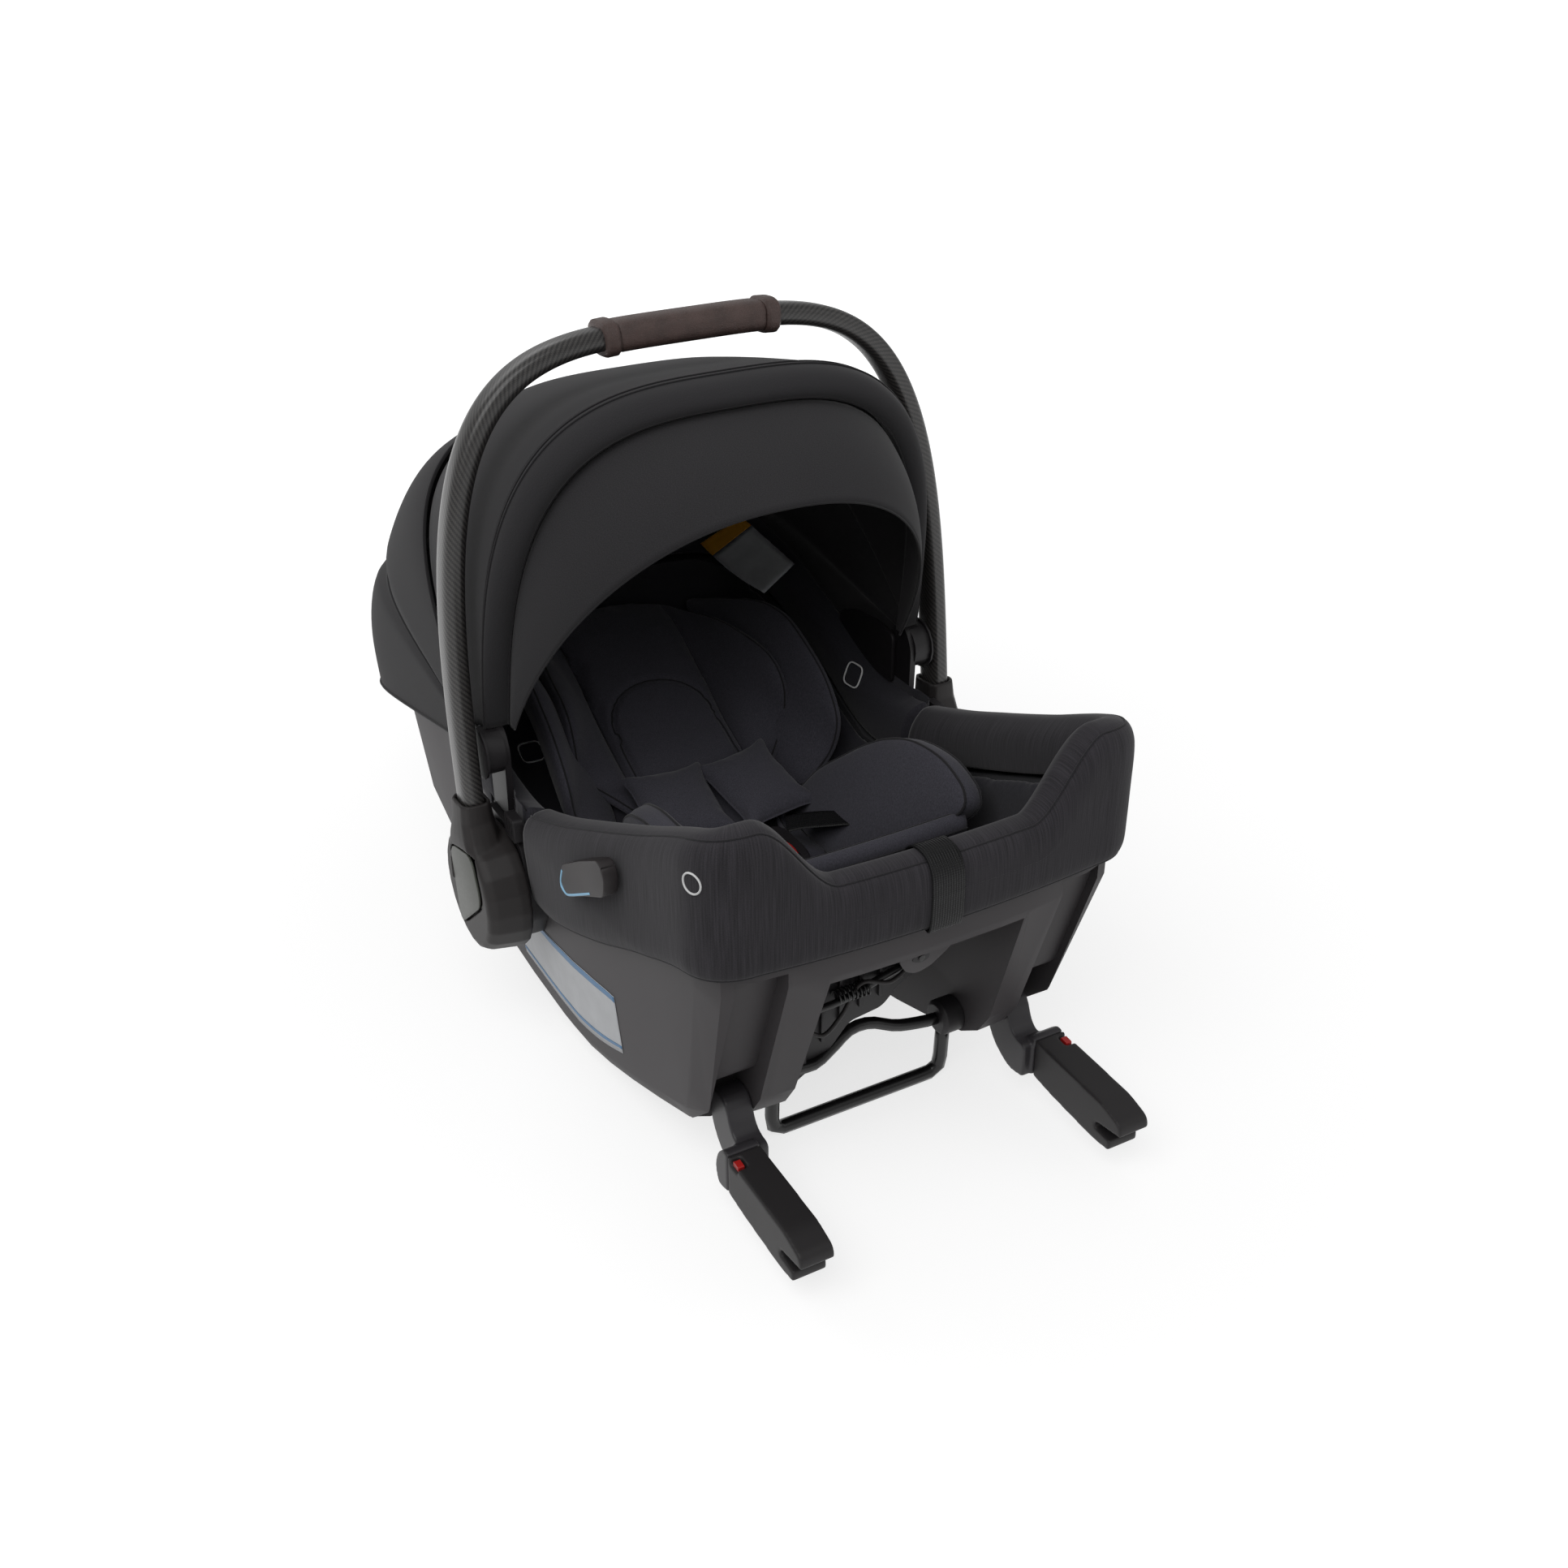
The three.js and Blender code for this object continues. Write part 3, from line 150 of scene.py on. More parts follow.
def makeFloor():
    bpy.ops.object.select_all(action="DESELECT")
    bpy.ops.mesh.primitive_plane_add(size=60, location=(0, 0, 0))
    floor = bpy.context.object
    floor.name = "floor"
    material = bpy.data.materials.new("floorPaper")
    material.use_nodes = True
    tree = material.node_tree
    tree.nodes.clear()
    path = addNode(tree, "ShaderNodeLightPath").outputs
    seen = mathNode(tree, "MAXIMUM", path["Is Camera Ray"], path["Is Glossy Ray"])
    place = addNode(tree, "ShaderNodeTexCoord").outputs["Object"]
    away = addNode(tree, "ShaderNodeVectorMath", {"operation": "LENGTH"}, i0=place)
    far = addNode(tree, "ShaderNodeMapRange", {"interpolation_type": "SMOOTHSTEP"}, **{
        "Value": away.outputs["Value"], "From Min": studio["glowNear"], "From Max": studio["glowFar"],
        "To Min": studio["floorGlow"], "To Max": studio["farGlow"]})
    glow = mathNode(tree, "MULTIPLY", seen, far.outputs[0])
    paper = addNode(tree, "ShaderNodeBsdfDiffuse", Color=(studio["floorAlbedo"],) * 3 + (1,))
    light = addNode(tree, "ShaderNodeEmission", Color=(1, 1, 1, 1), Strength=glow)
    both = addNode(tree, "ShaderNodeAddShader", i0=paper.outputs[0], i1=light.outputs[0])
    out = addNode(tree, "ShaderNodeOutputMaterial")
    tree.links.new(both.outputs[0], out.inputs[0])
    floor.data.materials.append(material)


makeCamera()
makeWorld()
makeFloor()
makeLight("keyLight", (-1.5, -1.2, 2.6), (0, 0, 0.25), (2.4, 2.0), studio["keyPower"])
makeLight("fillLight", (2.2, -1.8, 1.4), (0, 0, 0.2), (1.6, 1.6), studio["fillPower"])
makeLight("backLight", (-0.6, 2.4, 2.2), (0, 0.1, 0.3), (2.4, 1.2), studio["backPower"])
scene.view_settings.view_transform = "Standard"
print("studio ready")

# materials


def linear(rgb, share):
    # screen colour from 0 to 255 as linear light, made lighter or darker by a share
    parts = [c / 255 for c in rgb]
    return tuple((c / 12.92 if c <= 0.04045 else ((c + 0.055) / 1.055) ** 2.4) * share for c in parts) + (1,)


def newMaterial(name, **fixed):
    material = bpy.data.materials.new(name)
    material.use_nodes = True
    tree = material.node_tree
    tree.nodes.clear()
    out = addNode(tree, "ShaderNodeOutputMaterial")
    shader = addNode(tree, "ShaderNodeBsdfPrincipled")
    tree.links.new(shader.outputs[0], out.inputs[0])
    for key, value in fixed.items():
        shader.inputs[key.replace("_", " ")].default_value = value
    return material, tree, shader


def coordinates(tree, useMap, scale):
    where = addNode(tree, "ShaderNodeTexCoord").outputs["UV" if useMap else "Object"]
    scale = scale if isinstance(scale, tuple) else (scale,) * 3
    return addNode(tree, "ShaderNodeMapping", Vector=where, Scale=scale).outputs[0]


def noise(tree, useMap, scale, detail=2.0):
    where = coordinates(tree, useMap, scale)
    return addNode(tree, "ShaderNodeTexNoise", Vector=where, Scale=1.0, Detail=detail).outputs[0]


def bands(tree, direction, scale, distortion):
    return addNode(tree, "ShaderNodeTexWave", {"wave_type": "BANDS", "bands_direction": direction},
                   Vector=coordinates(tree, True, 1), Scale=scale, Distortion=distortion).outputs["Fac"]


def ramp(tree, factor, *stops):
    # each stop is its place, its colour and the share that makes the colour lighter or darker
    made = addNode(tree, "ShaderNodeValToRGB", Fac=factor)
    bar = made.color_ramp
    while len(bar.elements) < len(stops):
        bar.elements.new(0.5)
    for element, (place, rgb, share) in zip(bar.elements, stops):
        element.position = place
        element.color = linear(rgb, share)
    return made.outputs[0]


def finished(material, tree, shader, tone, height, strength, distance):
    made = addNode(tree, "ShaderNodeBump", Height=height, Strength=strength, Distance=distance)
    tree.links.new(made.outputs[0], shader.inputs["Normal"])
    tree.links.new(tone, shader.inputs["Base Color"])
    return material


def roughen(tree, shader, slow, low, high):
    spread = addNode(tree, "ShaderNodeMapRange", **{"Value": slow, "To Min": low, "To Max": high})
    tree.links.new(spread.outputs[0], shader.inputs["Roughness"])


def fabric(name, rgb, contrast, streak, grain=1500, useMap=True, sheen=0.15):
    # woven cloth: long fine threads one way, and a heathered grain
    material, tree, shader = newMaterial(name, Roughness=0.92, Sheen_Weight=sheen, Sheen_Roughness=0.5,
                                         Specular_IOR_Level=0.25)
    along, across = streak
    threads = noise(tree, useMap, (along, across, 1) if useMap else (along, along, across))
    grains = mathNode(tree, "MULTIPLY", noise(tree, useMap, grain, 1.0), 0.28)
    soft = mathNode(tree, "MULTIPLY_ADD", noise(tree, useMap, 14), 0.1, grains)
    height = mathNode(tree, "MULTIPLY_ADD", threads, 0.62, soft)
    tone = ramp(tree, height, (0.36, rgb, 1 - contrast * 1.5), (0.5, rgb, 1), (0.64, rgb, 1 + contrast * 1.9))
    return finished(material, tree, shader, tone, height, 0.35, 0.0004)


def moulded(name, rgb, roughness, grain, strength, specular):
    # moulded plastic with a fine spark-eroded grain and a slow drift of tone
    material, tree, shader = newMaterial(name, Specular_IOR_Level=specular)
    slow = noise(tree, False, 9, 3.0)
    roughen(tree, shader, slow, roughness - 0.05, roughness + 0.06)
    tone = ramp(tree, slow, (0.3, rgb, 0.9), (0.7, rgb, 1.1))
    return finished(material, tree, shader, tone, noise(tree, False, grain), strength, 0.0003)


def carbonWeave(name):
    # two-over two-under twill under a satin coat, on the piece's own map: u along the tube, v round it
    material, tree, shader = newMaterial(name, Roughness=0.4, Coat_Weight=0.45, Coat_Roughness=0.25,
                                         Specular_IOR_Level=0.4)
    tow = 0.00115
    cells = coordinates(tree, True, (1 / tow, 1 / tow, 1))
    place = addNode(tree, "ShaderNodeSeparateXYZ", Vector=cells).outputs
    steps = mathNode(tree, "ADD", mathNode(tree, "FLOOR", place[0]), mathNode(tree, "FLOOR", place[1]))
    over = mathNode(tree, "LESS_THAN", mathNode(tree, "FLOORED_MODULO", steps, 4.0), 1.5)
    lengthwise, crosswise = noise(tree, True, (300, 5200, 1), 1.0), noise(tree, True, (5200, 300, 1), 1.0)
    light = ramp(tree, lengthwise, (0.3, (46, 44, 43), 1), (0.7, (72, 70, 68), 1))
    dark = ramp(tree, crosswise, (0.3, (20, 19, 19), 1), (0.7, (36, 34, 34), 1))
    tone = addNode(tree, "ShaderNodeMix", {"data_type": "RGBA"}, Factor=over, A=dark, B=light)
    return finished(material, tree, shader, tone.outputs["Result"], over, 0.3, 0.00015)


def pebbledLeather(name, rgb):
    material, tree, shader = newMaterial(name, Roughness=0.5, Coat_Weight=0.08, Coat_Roughness=0.4)
    cells = addNode(tree, "ShaderNodeTexVoronoi", {"feature": "DISTANCE_TO_EDGE"},
                    Vector=coordinates(tree, True, 1), Scale=780.0)
    sockets = {"Value": cells.outputs["Distance"], "From Max": 0.32}
    edge = addNode(tree, "ShaderNodeMapRange", **sockets).outputs[0]
    mixed = mathNode(tree, "MULTIPLY_ADD", edge, 0.35, noise(tree, True, 60, 3.0))
    tone = ramp(tree, mixed, (0.35, rgb, 0.7), (0.85, rgb, 1.35))
    return finished(material, tree, shader, tone, edge, 0.55, 0.0004)


def webbing(name, rgb):
    # flat ribbed belt: u across, v along
    material, tree, shader = newMaterial(name, Roughness=0.42, Specular_IOR_Level=0.22)
    height = mathNode(tree, "MULTIPLY_ADD", bands(tree, "X", 190.0, 0.8), 0.35, bands(tree, "Y", 150.0, 0.0))
    tone = ramp(tree, height, (0.2, rgb, 0.6), (1.0, rgb, 1.6))
    return finished(material, tree, shader, tone, height, 0.8, 0.0005)


def plainFinish(name, rgb, roughness=0.35, metallic=0.0, drift=0.08, scale=40):
    material, tree, shader = newMaterial(name, Metallic=metallic)
    slow = noise(tree, False, scale, 3.0)
    roughen(tree, shader, slow, roughness - 0.05, roughness + 0.05)
    tone = ramp(tree, slow, (0.3, rgb, 1 - drift), (0.7, rgb, 1 + drift))
    return finished(material, tree, shader, tone, slow, 0.03, 0.0005)


finish = {
    "rim": fabric("rimFabric", (48, 46, 50), 0.24, (1050, 24), 1400),
    "knit": fabric("seatKnit", (68, 67, 75), 0.16, (1300, 420), useMap=False),
    "lining": fabric("sideLining", (43, 42, 48), 0.15, (1500, 300), useMap=False),
    "canopy": fabric("canopyCloth", (46, 45, 47), 0.12, (2200, 900), 2000, sheen=0.1),
    "tape": fabric("bindingTape", (33, 32, 34), 0.12, (1900, 500), 1800),
    "piping": fabric("pipingCloth", (38, 37, 40), 0.15, (1500, 300), useMap=False),
    "foam": moulded("beadedFoam", (60, 60, 62), 0.85, 260, 0.5, 0.2),
    "shell": moulded("shellPlastic", (66, 63, 65), 0.56, 1300, 0.16, 0.35),
    "dark": moulded("darkPlastic", (30, 28, 30), 0.48, 1500, 0.1, 0.4),
    "hub": moulded("hubPlastic", (38, 35, 35), 0.5, 1500, 0.12, 0.35),
    "collar": moulded("collarPlastic", (46, 42, 43), 0.5, 1500, 0.1, 0.35),
    "arm": moulded("armPlastic", (50, 48, 51), 0.42, 1800, 0.08, 0.45),
    "connector": moulded("connectorPlastic", (40, 38, 39), 0.5, 1500, 0.14, 0.35),
    "cap": plainFinish("oliveCap", (62, 65, 58), 0.4, 0.2, 0.06, 300),
    "carbon": carbonWeave("carbonWeave"),
    "leather": pebbledLeather("gripLeather", (72, 56, 52)),
    "web": webbing("beltWebbing", (16, 16, 17)),
    "steel": plainFinish("blackSteel", (20, 19, 20), 0.3, 0.0, 0.15, 120),
    "blue": plainFinish("markBlue", (150, 200, 232), 0.5),
    "red": plainFinish("signalRed", (170, 32, 30)),
    "thread": plainFinish("paleThread", (225, 225, 225), 0.8),
    "label": plainFinish("blankLabel", (205, 207, 210), 0.45),
    "labelEdge": plainFinish("labelEdge", (80, 130, 175), 0.45),
    "amber": plainFinish("labelAmber", (224, 160, 40), 0.5),
}
print("materials ready:", len(finish))

# forms shared with the frame, in millimetres

body = {
    "frontY": -330.0, "headY": 345.0, "frontHalf": 170.0, "midHalf": 188.0, "frontCorner": 30.0,
    "headCorner": 72.0, "frontBow": 8.0, "wall": 4.0, "leanTop": 220.0, "sideLean": 0.08, "frontLean": 0.32,
    "headLean": 0.24, "scoop": 56.0, "scoopIn": 78.0, "scoopOut": 140.0, "coverRear": -52.0, "gap": 0.5,
}
bothSides = (("Left", -1), ("Right", 1))


def profile(stops):
    # smooth curve through [place, value] stops, straight into its ends
    t, v = np.array(stops, float).T
    secant = np.diff(v) / np.diff(t)
    slope = np.r_[secant[0], (secant[1:] + secant[:-1]) / 2, secant[-1]]

    def at(x):
        x = np.clip(np.asarray(x, float), t[0], t[-1])
        i = np.clip(np.searchsorted(t, x) - 1, 0, len(t) - 2)
        h = t[i + 1] - t[i]
        p = (x - t[i]) / h
        return ((2 * p**3 - 3 * p**2 + 1) * v[i] + (p**3 - 2 * p**2 + p) * h * slope[i]
                + (3 * p**2 - 2 * p**3) * v[i + 1] + (p**3 - p**2) * h * slope[i + 1])

    return at


def smooth(x, low, high):
    p = np.clip((np.asarray(x, float) - low) / (high - low), 0, 1)
    return p * p * (3 - 2 * p)


def lerp(a, b, share):
    return a + (b - a) * share


def resample(points, step=None, count=None):
    points = np.asarray(points, float)
    d = np.r_[0, np.cumsum(np.linalg.norm(np.diff(points, axis=0), axis=1))]
    count = count or max(2, int(round(d[-1] / step)) + 1)
    s = np.linspace(0, d[-1], count)
    return np.stack([np.interp(s, d, points[:, k]) for k in range(points.shape[1])], 1)


def bezier(points, count=40):
    t = np.linspace(0, 1, count)[:, None]
    p = [np.array(q, float) for q in points]
    if len(p) == 3:
        return (1 - t) ** 2 * p[0] + 2 * t * (1 - t) * p[1] + t * t * p[2]
    return (1 - t) ** 3 * p[0] + 3 * t * (1 - t) ** 2 * p[1] + 3 * t * t * (1 - t) * p[2] + t**3 * p[3]


def planOutline(step):
    # the shell's outline at its widest level: round from the middle of the head end, left, front, right
    b = body
    run = b["frontHalf"] - b["frontCorner"]
    x = np.linspace(0, run, 30)
    front = np.c_[x, b["frontY"] - b["frontBow"] * (1 - (x / run) ** 2)]
    cornerEnd = (b["frontHalf"] + 2, b["frontY"] + b["frontCorner"])
    corner = bezier([(run, b["frontY"]), (b["frontHalf"], b["frontY"]), cornerEnd])
    sideEnd = (b["midHalf"], b["coverRear"])
    side = bezier([cornerEnd, (b["frontHalf"] + 9, -190), (b["midHalf"], -130), sideEnd], 80)
    t = np.linspace(0, math.pi / 2, 30)
    r = b["headCorner"]
    bend = np.c_[b["midHalf"] - r + r * np.cos(t), b["headY"] - r + r * np.sin(t)]
    half = np.concatenate([front, corner[1:], side[1:], bend, [[0, b["headY"]]]])
    right = resample(half, step)
    return np.concatenate([right[::-1][:-1] * [-1, 1], right])  # head, left side, front, right side, head


def outlineNormals(points):
    ahead = np.gradient(points, axis=0)
    n = np.c_[ahead[:, 1], -ahead[:, 0]]
    n /= np.linalg.norm(n, axis=1)[:, None]
    for _ in range(6):
        n[1:-1] = (n[:-2] + n[1:-1] * 2 + n[2:]) / 4
        n /= np.linalg.norm(n, axis=1)[:, None]
    return n


def wallPoints(points, normals, z, out):
    # points of the outer wall over the outline at height z, pushed out along its normal
    b = body
    drop = np.maximum(0, b["leanTop"] - z)
    x, y = points[:, 0], points[:, 1]
    lean = np.where(y < 0, b["frontLean"] * drop / -b["frontY"], b["headLean"] * drop / b["headY"])
    return np.stack([x * (1 - b["sideLean"] * drop / b["midHalf"]) + normals[:, 0] * out,
                     y * (1 - lean) + normals[:, 1] * out, z * np.ones_like(x)], -1)


sideCrest = profile([[-330, 354], [-300, 344], [-230, 310], [-160, 278], [-90, 248], [-20, 226], [40, 228],
                     [120, 258], [220, 290], [345, 300]])
seatLine = profile([[-300, 243], [-240, 190], [-180, 150], [-120, 128], [-50, 122], [8, 133], [56, 150],
                    [106, 173], [172, 210], [233, 239], [300, 257], [340, 264]])
rimHem = profile([[-330, 243], [-290, 234], [-240, 214], [-180, 184], [-120, 160], [-90, 151], [-50, 147]])


def crestOf(points):
    x, y = points[:, 0], points[:, 1]
    atFront = 1 - smooth(y, body["frontY"], body["frontY"] + 45)
    scoop = body["scoop"] * (1 - smooth(np.abs(x), body["scoopIn"], body["scoopOut"]))
    return sideCrest(y) - scoop * atFront


# mesh helpers


def linkMesh(name, mesh):
    made = bpy.data.objects.new(name, mesh)
    scene.collection.objects.link(made)
    return made


def skin(name, rows, closed=False, caps=False):
    # a surface through rows of points in millimetres, with a map in metres; closed wraps each row round
    rows = np.asarray(rows, float) / 1000
    count, width = rows.shape[:2]
    ring = width if closed else width - 1
    lengthwise = np.r_[0, np.cumsum(np.linalg.norm(np.diff(rows, axis=0), axis=2).mean(1))]
    around = np.concatenate([rows, rows[:, :1]], 1) if closed else rows
    across = np.cumsum(np.linalg.norm(np.diff(around, axis=1), axis=2), axis=1)
    cross = np.concatenate([np.zeros((count, 1)), across], 1)
    points = [tuple(p) for p in rows.reshape(-1, 3)]
    faces, corners = [], []
    for r in range(count - 1):
        for c in range(ring):
            d = (c + 1) % width
            faces.append((r * width + c, r * width + d, (r + 1) * width + d, (r + 1) * width + c))
            corners += [(lengthwise[r], cross[r, c]), (lengthwise[r], cross[r, c + 1]),
                        (lengthwise[r + 1], cross[r + 1, c + 1]), (lengthwise[r + 1], cross[r + 1, c])]
    if caps:
        for r, turned in ((0, True), (count - 1, False)):
            centre = len(points)
            points.append(tuple(rows[r].mean(0)))
            for c in range(ring):
                a, b = r * width + c, r * width + (c + 1) % width
                faces.append((b, a, centre) if turned else (a, b, centre))
                corners += [(lengthwise[r], cross[r, c])] * 2 + [(lengthwise[r] + 0.01, cross[r, c])]
    mesh = bpy.data.meshes.new(name)
    mesh.from_pydata(points, [], faces)
    layer = mesh.uv_layers.new(name="map")
    layer.data.foreach_set("uv", np.array(corners).astype(np.float32).ravel())
    made = linkMesh(name, mesh)
    edited(mesh, sameNormals)
    mesh.shade_smooth()
    return made


def edited(mesh, *steps):
    # runs the steps on a mesh opened for editing
    work = bmesh.new()
    work.from_mesh(mesh)
    for step in steps:
        step(work)
    work.to_mesh(mesh)
    work.free()


def sameNormals(work):
    bmesh.ops.recalc_face_normals(work, faces=work.faces)


def joinedPoints(work):
    bmesh.ops.remove_doubles(work, verts=work.verts, dist=2e-5)


def closedEnds(work):
    bmesh.ops.holes_fill(work, edges=[e for e in work.edges if e.is_boundary], sides=0)
    bmesh.ops.triangulate(work, faces=[f for f in work.faces if len(f.verts) > 4])


def pick(piece):
    bpy.ops.object.select_all(action="DESELECT")
    piece.select_set(True)
    bpy.context.view_layer.objects.active = piece


def applyAll(piece):
    pick(piece)
    for modifier in list(piece.modifiers):
        bpy.ops.object.modifier_apply(modifier=modifier.name)


def modify(piece, kind, **settings):
    made = piece.modifiers.new(kind.lower(), kind)
    for key, value in settings.items():
        setattr(made, key, value)
    return made


def coordsOf(mesh):
    co = np.zeros(len(mesh.vertices) * 3)
    mesh.vertices.foreach_get("co", co)
    return co.reshape(-1, 3)


def setCoords(mesh, co):
    mesh.vertices.foreach_set("co", np.asarray(co, float).ravel())
    mesh.update()


def normalsOf(mesh):
    n = np.zeros(len(mesh.vertices) * 3)
    mesh.vertices.foreach_get("normal", n)
    return n.reshape(-1, 3)


def spline(control, per=5, closed=False):
    # catmull-rom through control points; control is a list of arrays or an (n, ...) array
    p = np.asarray(control, float)
    n = len(p)
    out = []
    last = n if closed else n - 1
    for i in range(last):
        a, b, c, d = (p[(i + k) % n] if closed else p[min(max(i + k, 0), n - 1)] for k in (-1, 0, 1, 2))
        for t in np.linspace(0, 1, per, endpoint=False):
            cubic = (3 * b - a - 3 * c + d) * t**3
            out.append(0.5 * (2 * b + (c - a) * t + (2 * a - 5 * b + 4 * c - d) * t * t + cubic))
    if not closed:
        out.append(p[-1])
    return np.array(out)


def tube(name, points, radius, sides=8, caps=True):
    # a round cord through points in millimetres, such as piping
    p = np.asarray(points, float)
    ahead = np.gradient(p, axis=0)
    ahead /= np.linalg.norm(ahead, axis=1)[:, None]
    up = np.array([0.0, 0.0, 1.0]) if abs(ahead[0][2]) < 0.9 else np.array([1.0, 0.0, 0.0])
    rows = []
    side = np.cross(ahead[0], up)
    for q, a in zip(p, ahead):
        side = side - a * (side @ a)
        side /= np.linalg.norm(side)
        top = np.cross(a, side)
        angles = np.arange(sides) * 2 * math.pi / sides
        rows.append(q + radius * (np.cos(angles)[:, None] * side + np.sin(angles)[:, None] * top))
    return skin(name, rows, closed=True, caps=caps)


def treeOf(piece):
    mesh = piece.data
    return BVHTree.FromPolygons([v.co for v in mesh.vertices], [p.vertices for p in mesh.polygons])


def ontoSurface(tree, points, lift):
    # nearest places on a surface, raised by lift; points in millimetres
    out = []
    for p in points:
        place, normal, _, _ = tree.find_nearest(Vector(p) / 1000)
        out.append(np.array(place) * 1000 + np.array(normal) * lift)
    return np.array(out)


def groove(piece, lines, width, depth):
    # sewn channels: presses the surface in along lines of points in millimetres
    co = coordsOf(piece.data)
    n = normalsOf(piece.data)
    press = np.zeros(len(co))
    for line in lines:
        q = resample(np.asarray(line, float), 1.5) / 1000
        for start in range(0, len(co), 4000):
            part = co[start:start + 4000]
            d = np.linalg.norm(part[:, None] - q[None], axis=2).min(1) * 1000
            share = np.clip(1 - d / width, 0, 1)
            press[start:start + 4000] = np.maximum(press[start:start + 4000], share * share * (3 - 2 * share))
    setCoords(piece.data, co - n * (press * depth / 1000)[:, None])


def pillow(name, loop, thick, gusset=0.0, rings=13, dome=3.0, count=120, wrinkle=0.5):
    # a stuffed pad on a closed outline in millimetres: a face either side, a boxed edge between them
    loop = spline(np.asarray(loop, float), 6, closed=True)
    rim = resample(np.concatenate([loop, loop[:1]]), count=count + 1)[:-1]
    centre = rim.mean(0)
    face = np.sum(np.cross(rim - centre, np.roll(rim, -1, axis=0) - centre), axis=0)
    face /= np.linalg.norm(face)
    shares = np.sin(np.linspace(0.08, 1, rings) * math.pi / 2)
    wave = np.arange(count) * 2 * math.pi / count
    spectrum = np.fft.fft(rim - centre, axis=0)
    keep = np.minimum(np.arange(count), count - np.arange(count))[:, None]
    rows = []
    for side in (1, -1):
        part = []
        for share in shares:
            lift = gusset / 2 + thick / 2 * (1 - share**dome) ** 0.6
            waves = np.sin(wave * 7 + side) + 0.6 * np.sin(wave * 17 + 2 * side)
            soft = wrinkle * share**6 * waves * (1 - share)**0.5 * 3
            plain = np.fft.ifft(spectrum * np.exp(-(keep * (1 - share) / 1.6) ** 2), axis=0).real
            part.append(centre + plain * share + face * (side * (lift + soft))[:, None])
        rows += part if side > 0 else part[::-1]
        if side > 0 and gusset:
            out = (rim - centre) / np.linalg.norm(rim - centre, axis=1)[:, None]
            rows += [rim + out * 1.6 * math.sin(math.pi * k / 4) + face * gusset / 2 * (1 - k / 2)
                     for k in (1, 2, 3)]
    made = skin(name, rows, closed=True, caps=True)
    seams = [rim + face * gusset / 2 * s for s in ((1, -1) if gusset else (0,))]
    return made, [np.concatenate([s, s[:2]]) for s in seams]


def cord(name, points, radius, material, rides="carrier", sides=8, caps=True, replaced=()):
    return wear(tube(name, points, radius, sides, caps), material, rides, replaced)


def piped(name, lines, radius):
    for number, line in enumerate(lines):
        cord(f"{name}{number}", line, radius, "piping", caps=False)


def crisp(piece):
    # modifiers applied, and shaded smooth except at its edges
    applyAll(piece)
    edited(piece.data, sameNormals)
    bpy.ops.object.shade_smooth_by_angle(angle=math.radians(40))


def plate(name, corners, depth, soft, material, corner=0.0, replaced=()):
    # a flat moulding: a filled ring set out on its corners, its corners rounded, then thickened and softened
    bpy.ops.object.select_all(action="DESELECT")
    bpy.ops.mesh.primitive_circle_add(vertices=len(corners), fill_type="NGON")
    piece = bpy.context.object
    piece.name = name
    for vertex, place in zip(piece.data.vertices, corners):
        vertex.co = Vector(place) / 1000
    if corner:
        modify(piece, "BEVEL", affect="VERTICES", width=corner / 1000, segments=5)
    modify(piece, "SOLIDIFY", thickness=depth / 1000, offset=0.0)
    modify(piece, "BEVEL", width=soft / 1000, segments=3, limit_method="ANGLE", angle_limit=math.radians(50))
    crisp(piece)
    wear(piece, material, "carrier", replaced)


def mirrored(points, sign):
    return np.asarray(points, float) * [sign, 1, 1]


def copyNode(node, name):
    mesh = nodes[node].data.copy()
    mesh.name = name
    mesh.materials.clear()
    made = linkMesh(name, mesh)
    edited(mesh, joinedPoints)
    return made


def remeshed(piece, voxel, rounds):
    modify(piece, "REMESH", mode="VOXEL", voxel_size=voxel / 1000, use_smooth_shade=True)
    modify(piece, "SMOOTH", factor=0.5, iterations=rounds)


stuffing = {
    "quality": 4, "mass": 0.3, "tension_stiffness": 12.0, "compression_stiffness": 12.0,
    "bending_stiffness": 0.6, "use_pressure": True, "uniform_pressure_force": 3.0,
}


def puffed(node, name, voxel, shrink, rounds, cap):
    # the pad in a node's space: remeshed, softened, blown up a little by cloth, its travel capped
    piece = copyNode(node, name)
    remeshed(piece, voxel, rounds)
    if shrink:
        modify(piece, "DISPLACE", strength=-shrink / 1000, mid_level=0.0)
    applyAll(piece)
    if cap > 0:
        rest = coordsOf(piece.data)
        cloth = modify(piece, "CLOTH").settings
        for key, value in stuffing.items():
            setattr(cloth, key, value)
        cloth.effector_weights.gravity = 0
        for step in range(1, 21):
            scene.frame_set(step)
        shape = piece.evaluated_get(bpy.context.evaluated_depsgraph_get()).data
        moved = coordsOf(shape) - rest
        far = np.linalg.norm(moved, axis=1)
        moved *= np.minimum(1, cap / 1000 / np.maximum(far, 1e-9))[:, None]
        piece.modifiers.clear()
        setCoords(piece.data, rest + moved)
        scene.frame_set(1)
        modify(piece, "SMOOTH", factor=0.5, iterations=2)
    if cap:
        modify(piece, "SUBSURF", levels=1, render_levels=1)
    applyAll(piece)
    piece.data.shade_smooth()
    return piece


def wear(piece, material, rides, replaced=()):
    # finish, body and stand-ins of a piece in one place
    piece.data.materials.clear()
    piece.data.materials.append(finish[material])
    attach(piece, rides)
    if replaced:
        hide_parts(*replaced)
    return piece


def seatWear(piece, material, node):
    wear(piece, material, "carrier", [node])


